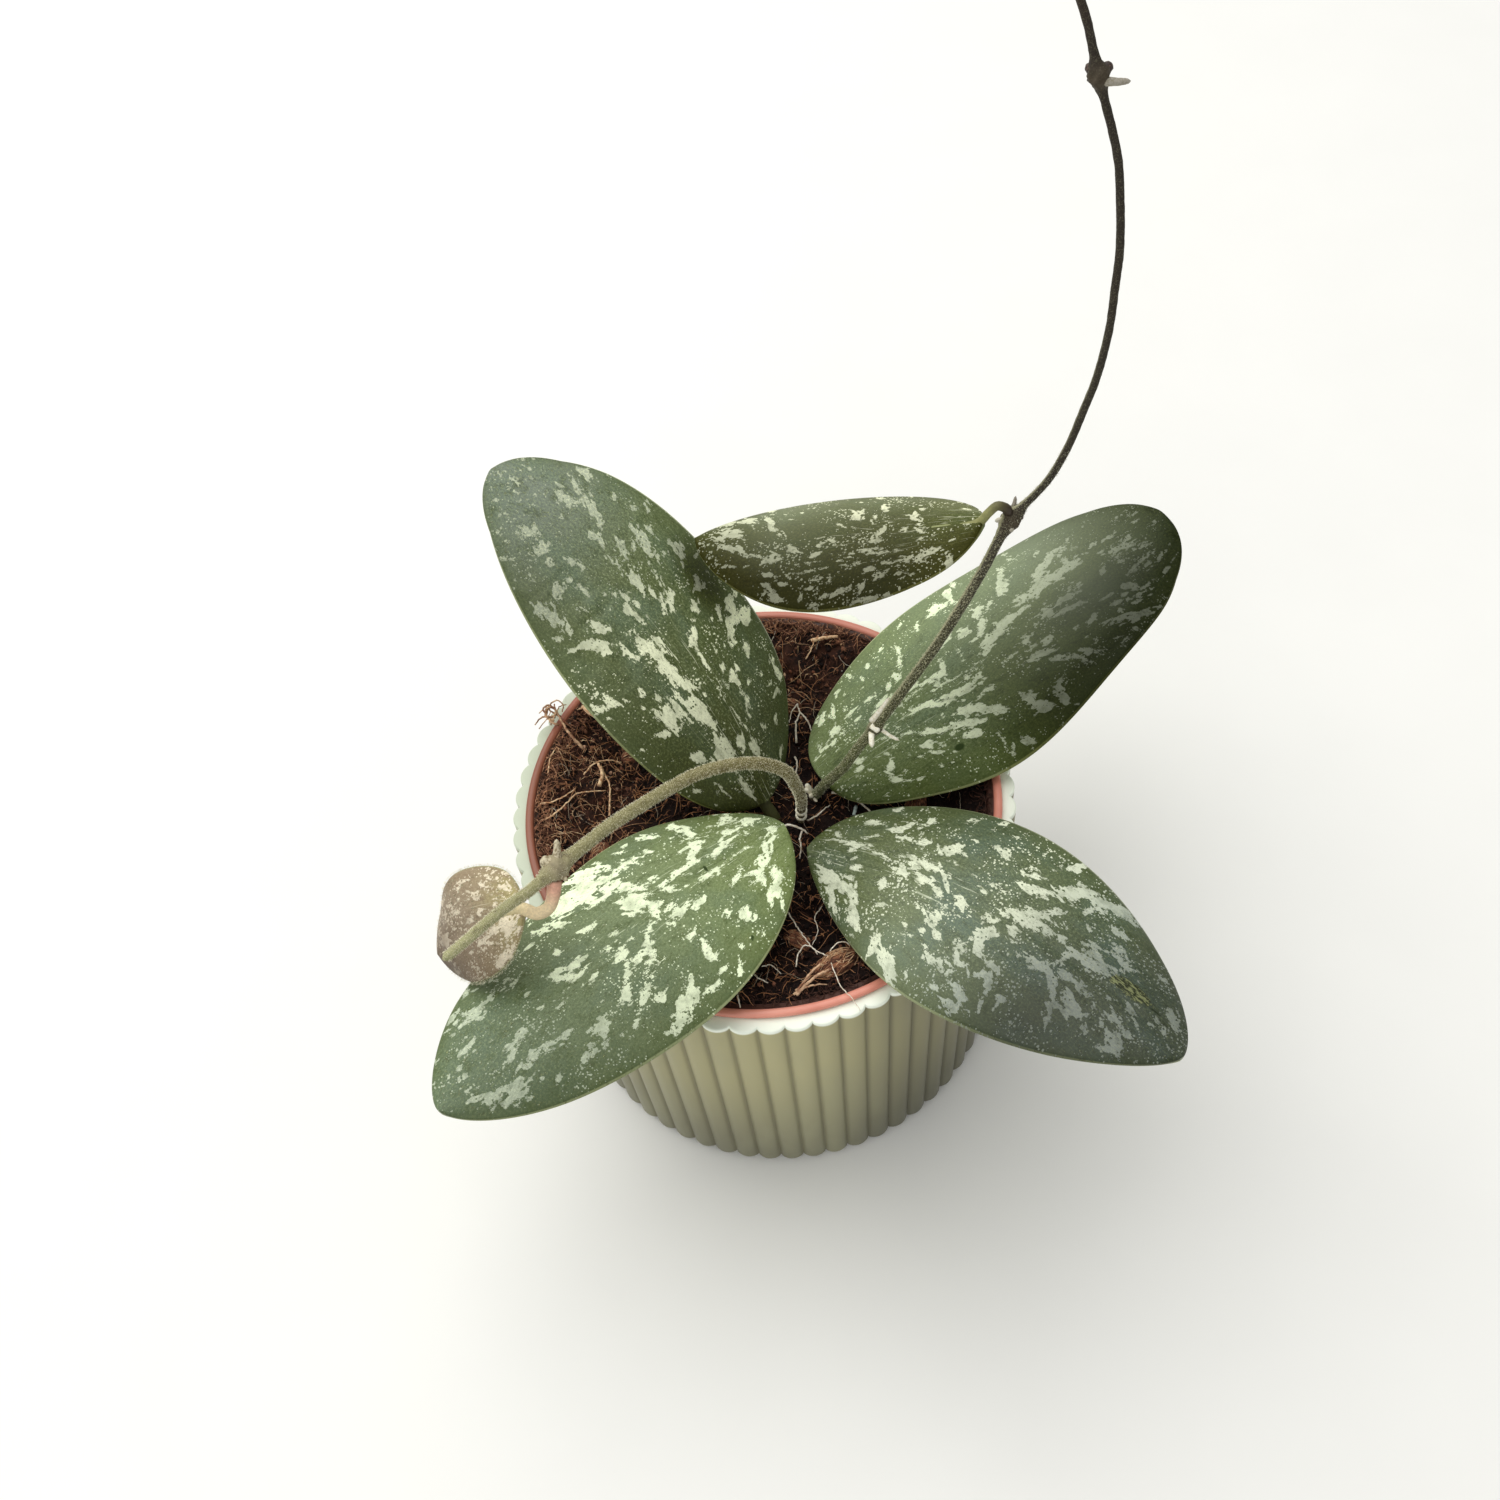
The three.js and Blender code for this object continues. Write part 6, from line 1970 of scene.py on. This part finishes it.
# The studio, in metres and watts
LIGHTS = {
    "key": {"place": (-0.34, 0.5, 1.3), "size": 1.9, "power": 20.0, "colour": (1.0, 0.99, 0.95)},
    "fill": {"place": (-0.6, -1.0, 0.95), "size": 1.2, "power": 4.2, "colour": (1.0, 1.0, 1.0)},
}
LIT_POINT = (0, 0, 0.08)
SURROUND = {"Color": (1.0, 1.0, 0.98, 1), "Strength": 0.42}
FLOOR_REACH = 3.0


def add_light(name, light):
    data = bpy.data.lights.new(name, "AREA")
    data.shape = "DISK"
    data.size = light["size"]
    data.energy = light["power"]
    data.color = light["colour"]
    lamp = bpy.data.objects.new(name, data)
    lamp.location = light["place"]
    way = Vector(LIT_POINT) - Vector(light["place"])
    lamp.rotation_euler = way.to_track_quat("-Z", "Y").to_euler()
    bpy.context.scene.collection.objects.link(lamp)


def add_studio():
    """A pale floor, an even pale surround and two large soft lights."""
    scene = bpy.context.scene
    scene.view_settings.view_transform = "Standard"
    world = bpy.data.worlds.new("surround")
    world.use_nodes = True
    for key, value in SURROUND.items():
        world.node_tree.nodes["Background"].inputs[key].default_value = value
    scene.world = world
    for name, light in LIGHTS.items():
        add_light(name, light)
    corners = [(FLOOR_REACH * x, FLOOR_REACH * y, 0) for x, y in ((-1, -1), (1, -1), (1, 1), (-1, 1))]
    mesh = bpy.data.meshes.new("floor")
    mesh.from_pydata(corners, [], [(0, 1, 2, 3)])
    material, tree, shader = new_material("floor", 0.7, 0.2)
    grain = noise_of(tree, object_place(tree), 30.0, 3)
    pale = blend_colours(tree, grain, srgb(242, 242, 240), srgb(246, 246, 244))
    tree.links.new(pale, shader.inputs["Base Color"])
    mesh.materials.append(material)
    floor = bpy.data.objects.new("floor", mesh)
    scene.collection.objects.link(floor)


# The plant, piece by piece. Fibres: how many, shortest and longest, thickness, seed and finish, then how
# much denser on the left, bend, lift and steps, or the angles of the ledge that they lie on.

SHOOT_COLOURS = {
    "along": [
        (0.0, srgb(150, 132, 92)),
        (1.0, srgb(162, 162, 120)),
        (0.16, srgb(84, 72, 40)),
        (0.35, srgb(108, 100, 60)),
        (0.76, srgb(140, 136, 96)),
    ],
    "speck": srgb(214, 208, 170),
    "speck_loss": 0.4,
    "dark": srgb(74, 64, 34),
    "knob": srgb(164, 152, 126),
}
VINE_COLOURS = {
    "along": [
        (0.0, srgb(88, 92, 56)),
        (1.0, srgb(84, 62, 46)),
        (0.12, srgb(78, 84, 46)),
        (0.2, srgb(62, 63, 34)),
        (0.38, srgb(45, 39, 26)),
        (0.8, srgb(38, 30, 22)),
    ],
    "speck": srgb(184, 182, 146),
    "speck_loss": 0.84,
    "dark": srgb(32, 25, 14),
    "knob": srgb(76, 66, 50),
}
BRACTS = [((8.1, -5.0, 79.6), 1.3), ((8.2, -5.8, 83.2), 1.34)]
YOUNG_MARGIN = {"at": 0.985, "steps": 80, "thickness": 0.4}


def build_pots_and_soil():
    build_cachepot(cachepot_material())
    build_nursery_pot(terracotta_material())

    peat = soil_material("peat", srgb(20, 10, 8), srgb(66, 38, 27), srgb(146, 98, 74), 420.0)
    build_soil_body(peat)
    build_crumbs("soil_crumbs", 3000, (0.3, 1.0), 5, peat)
    bark = plain_material("bark_chips", srgb(232, 190, 160), srgb(130, 80, 58), 0.85, shaded=True)
    build_crumbs("soil_bark", 460, (0.25, 0.85), 6, bark, 0.7)
    golden = plain_material("coir", srgb(252, 222, 180), srgb(176, 122, 82), 0.7, shaded=True)
    brown = plain_material("brown_fibre", srgb(196, 136, 102), srgb(58, 30, 20), 0.8, shaded=True)
    pale = plain_material("pale_root", srgb(250, 244, 230), srgb(200, 184, 160), 0.6, shaded=True)
    build_fibres("soil_fluff", 4200, (0.8, 3.4), 0.11, 30, brown, 0.6, 1.9, 1.0, 5)
    build_fibres("soil_coir", 760, (2, 9), 0.1, 31, golden, 1.0, 1.1, 2.2)
    build_fibres("soil_chaff", 1300, (0.6, 2.2), 0.14, 32, golden, 1.0, 0.8, 1.0, 4)
    build_fibres("soil_roots", 150, (2, 9), 0.08, 33, pale, 0.0, 1.2, 1.8)
    spilt = plain_material("spilt_fibre", srgb(216, 160, 122), srgb(88, 50, 34), 0.8, shaded=True)
    build_fibres("soil_spill", 1300, (1.2, 5), 0.13, 40, spilt, 0.0, 1.3, 0.8, 5, (60, 232))
    build_fibres("soil_edge", 620, (1, 4), 0.13, 41, brown, 0.0, 1.5, 0.5, 5, (232, 420))
    grit = plain_material("grit", srgb(236, 234, 228), srgb(180, 172, 160), 0.6)
    build_crumbs("soil_grit", 150, (0.1, 0.22), 7, grit)
    build_laid_strands("soil_white_roots", WHITE_ROOTS, 34, pale)
    tuft = plain_material("tuft_fibre", srgb(222, 186, 150), srgb(122, 72, 48), 0.8, 700.0)
    build_laid_strands("soil_tuft", TUFT, 35, tuft)
    build_laid_strands("soil_chip_straws", CHIP_STRAWS, 39, tuft)
    build_laid_strands("soil_straws", STRAWS, 38, golden)
    block = plain_material("coir_block", srgb(176, 116, 84), srgb(54, 30, 22), 0.9, 1100.0, shaded=True)
    build_chips(block, golden)
    bluish = plain_material("bluish_root", srgb(176, 188, 182), srgb(138, 150, 146), 0.6)
    build_laid_strands("soil_stub", BLUISH_STUB, 36, bluish)


def build_leaves():
    green = petiole_material("green_petiole", srgb(72, 64, 38), srgb(80, 82, 44), srgb(96, 110, 66))
    tan = petiole_material("tan_petiole", srgb(62, 50, 36), srgb(146, 146, 92), srgb(150, 156, 104))
    ends = (srgb(226, 172, 148), srgb(238, 216, 174), srgb(212, 200, 152))
    stalks = {"leaf_vine": tan, "leaf_young": petiole_material("golden_petiole", *ends)}
    for seed, name in enumerate(LEAVES, start=1):
        build_leaf(name, seed)
        build_petiole(name, seed, stalks.get(name, green))


def build_stems():
    white_nub = nub_material("white_nub", srgb(255, 252, 236), srgb(232, 224, 194))
    beige_nub = nub_material("beige_nub", srgb(206, 196, 168), srgb(132, 118, 88))
    build_stem("stem_shoot", SHOOT, stem_material("shoot_skin", SHOOT_COLOURS, 0.75), beige_nub, 61)
    build_bracts("shoot_bracts", SHOOT, BRACTS, white_nub)
    build_stem("stem_vine", VINE, stem_material("vine_bark", VINE_COLOURS, 0.7), white_nub, 62)


def build_down():
    """The down on the shoot, on the vine's lower half and round the young blade's margin."""
    bright = plain_material("bright_down", srgb(248, 244, 216), srgb(222, 216, 184), 0.6)
    grey = plain_material("grey_down", srgb(226, 226, 200), srgb(184, 182, 152), 0.6)
    line = spline(SHOOT["route"], STEM["step"])
    radii, _ = stem_radii(SHOOT, line)
    build_hairs("shoot_down", line, radii, 7000, 0.44, 0.055, bright, 71, (0.15, 0.995))
    line = spline(VINE["route"], STEM["step"])
    radii, _ = stem_radii(VINE, line)
    build_hairs("vine_down", line, radii, 3000, 0.4, 0.04, grey, 72, (0.05, 0.48))
    around = np.linspace(0.03, 0.97, YOUNG_MARGIN["steps"])
    left, right = (
        blade_points(LEAVES["leaf_young"], places, np.array([side * YOUNG_MARGIN["at"]]))[0][:, 0]
        for side, places in ((1, around), (-1, around[::-1]))
    )
    margin = np.vstack([left, right])
    radii = np.full(len(margin), YOUNG_MARGIN["thickness"])
    build_hairs("young_down", margin, radii, 1100, 0.5, 0.035, bright, 73)


add_camera()
add_studio()
build_pots_and_soil()
build_leaves()
build_stems()
build_down()
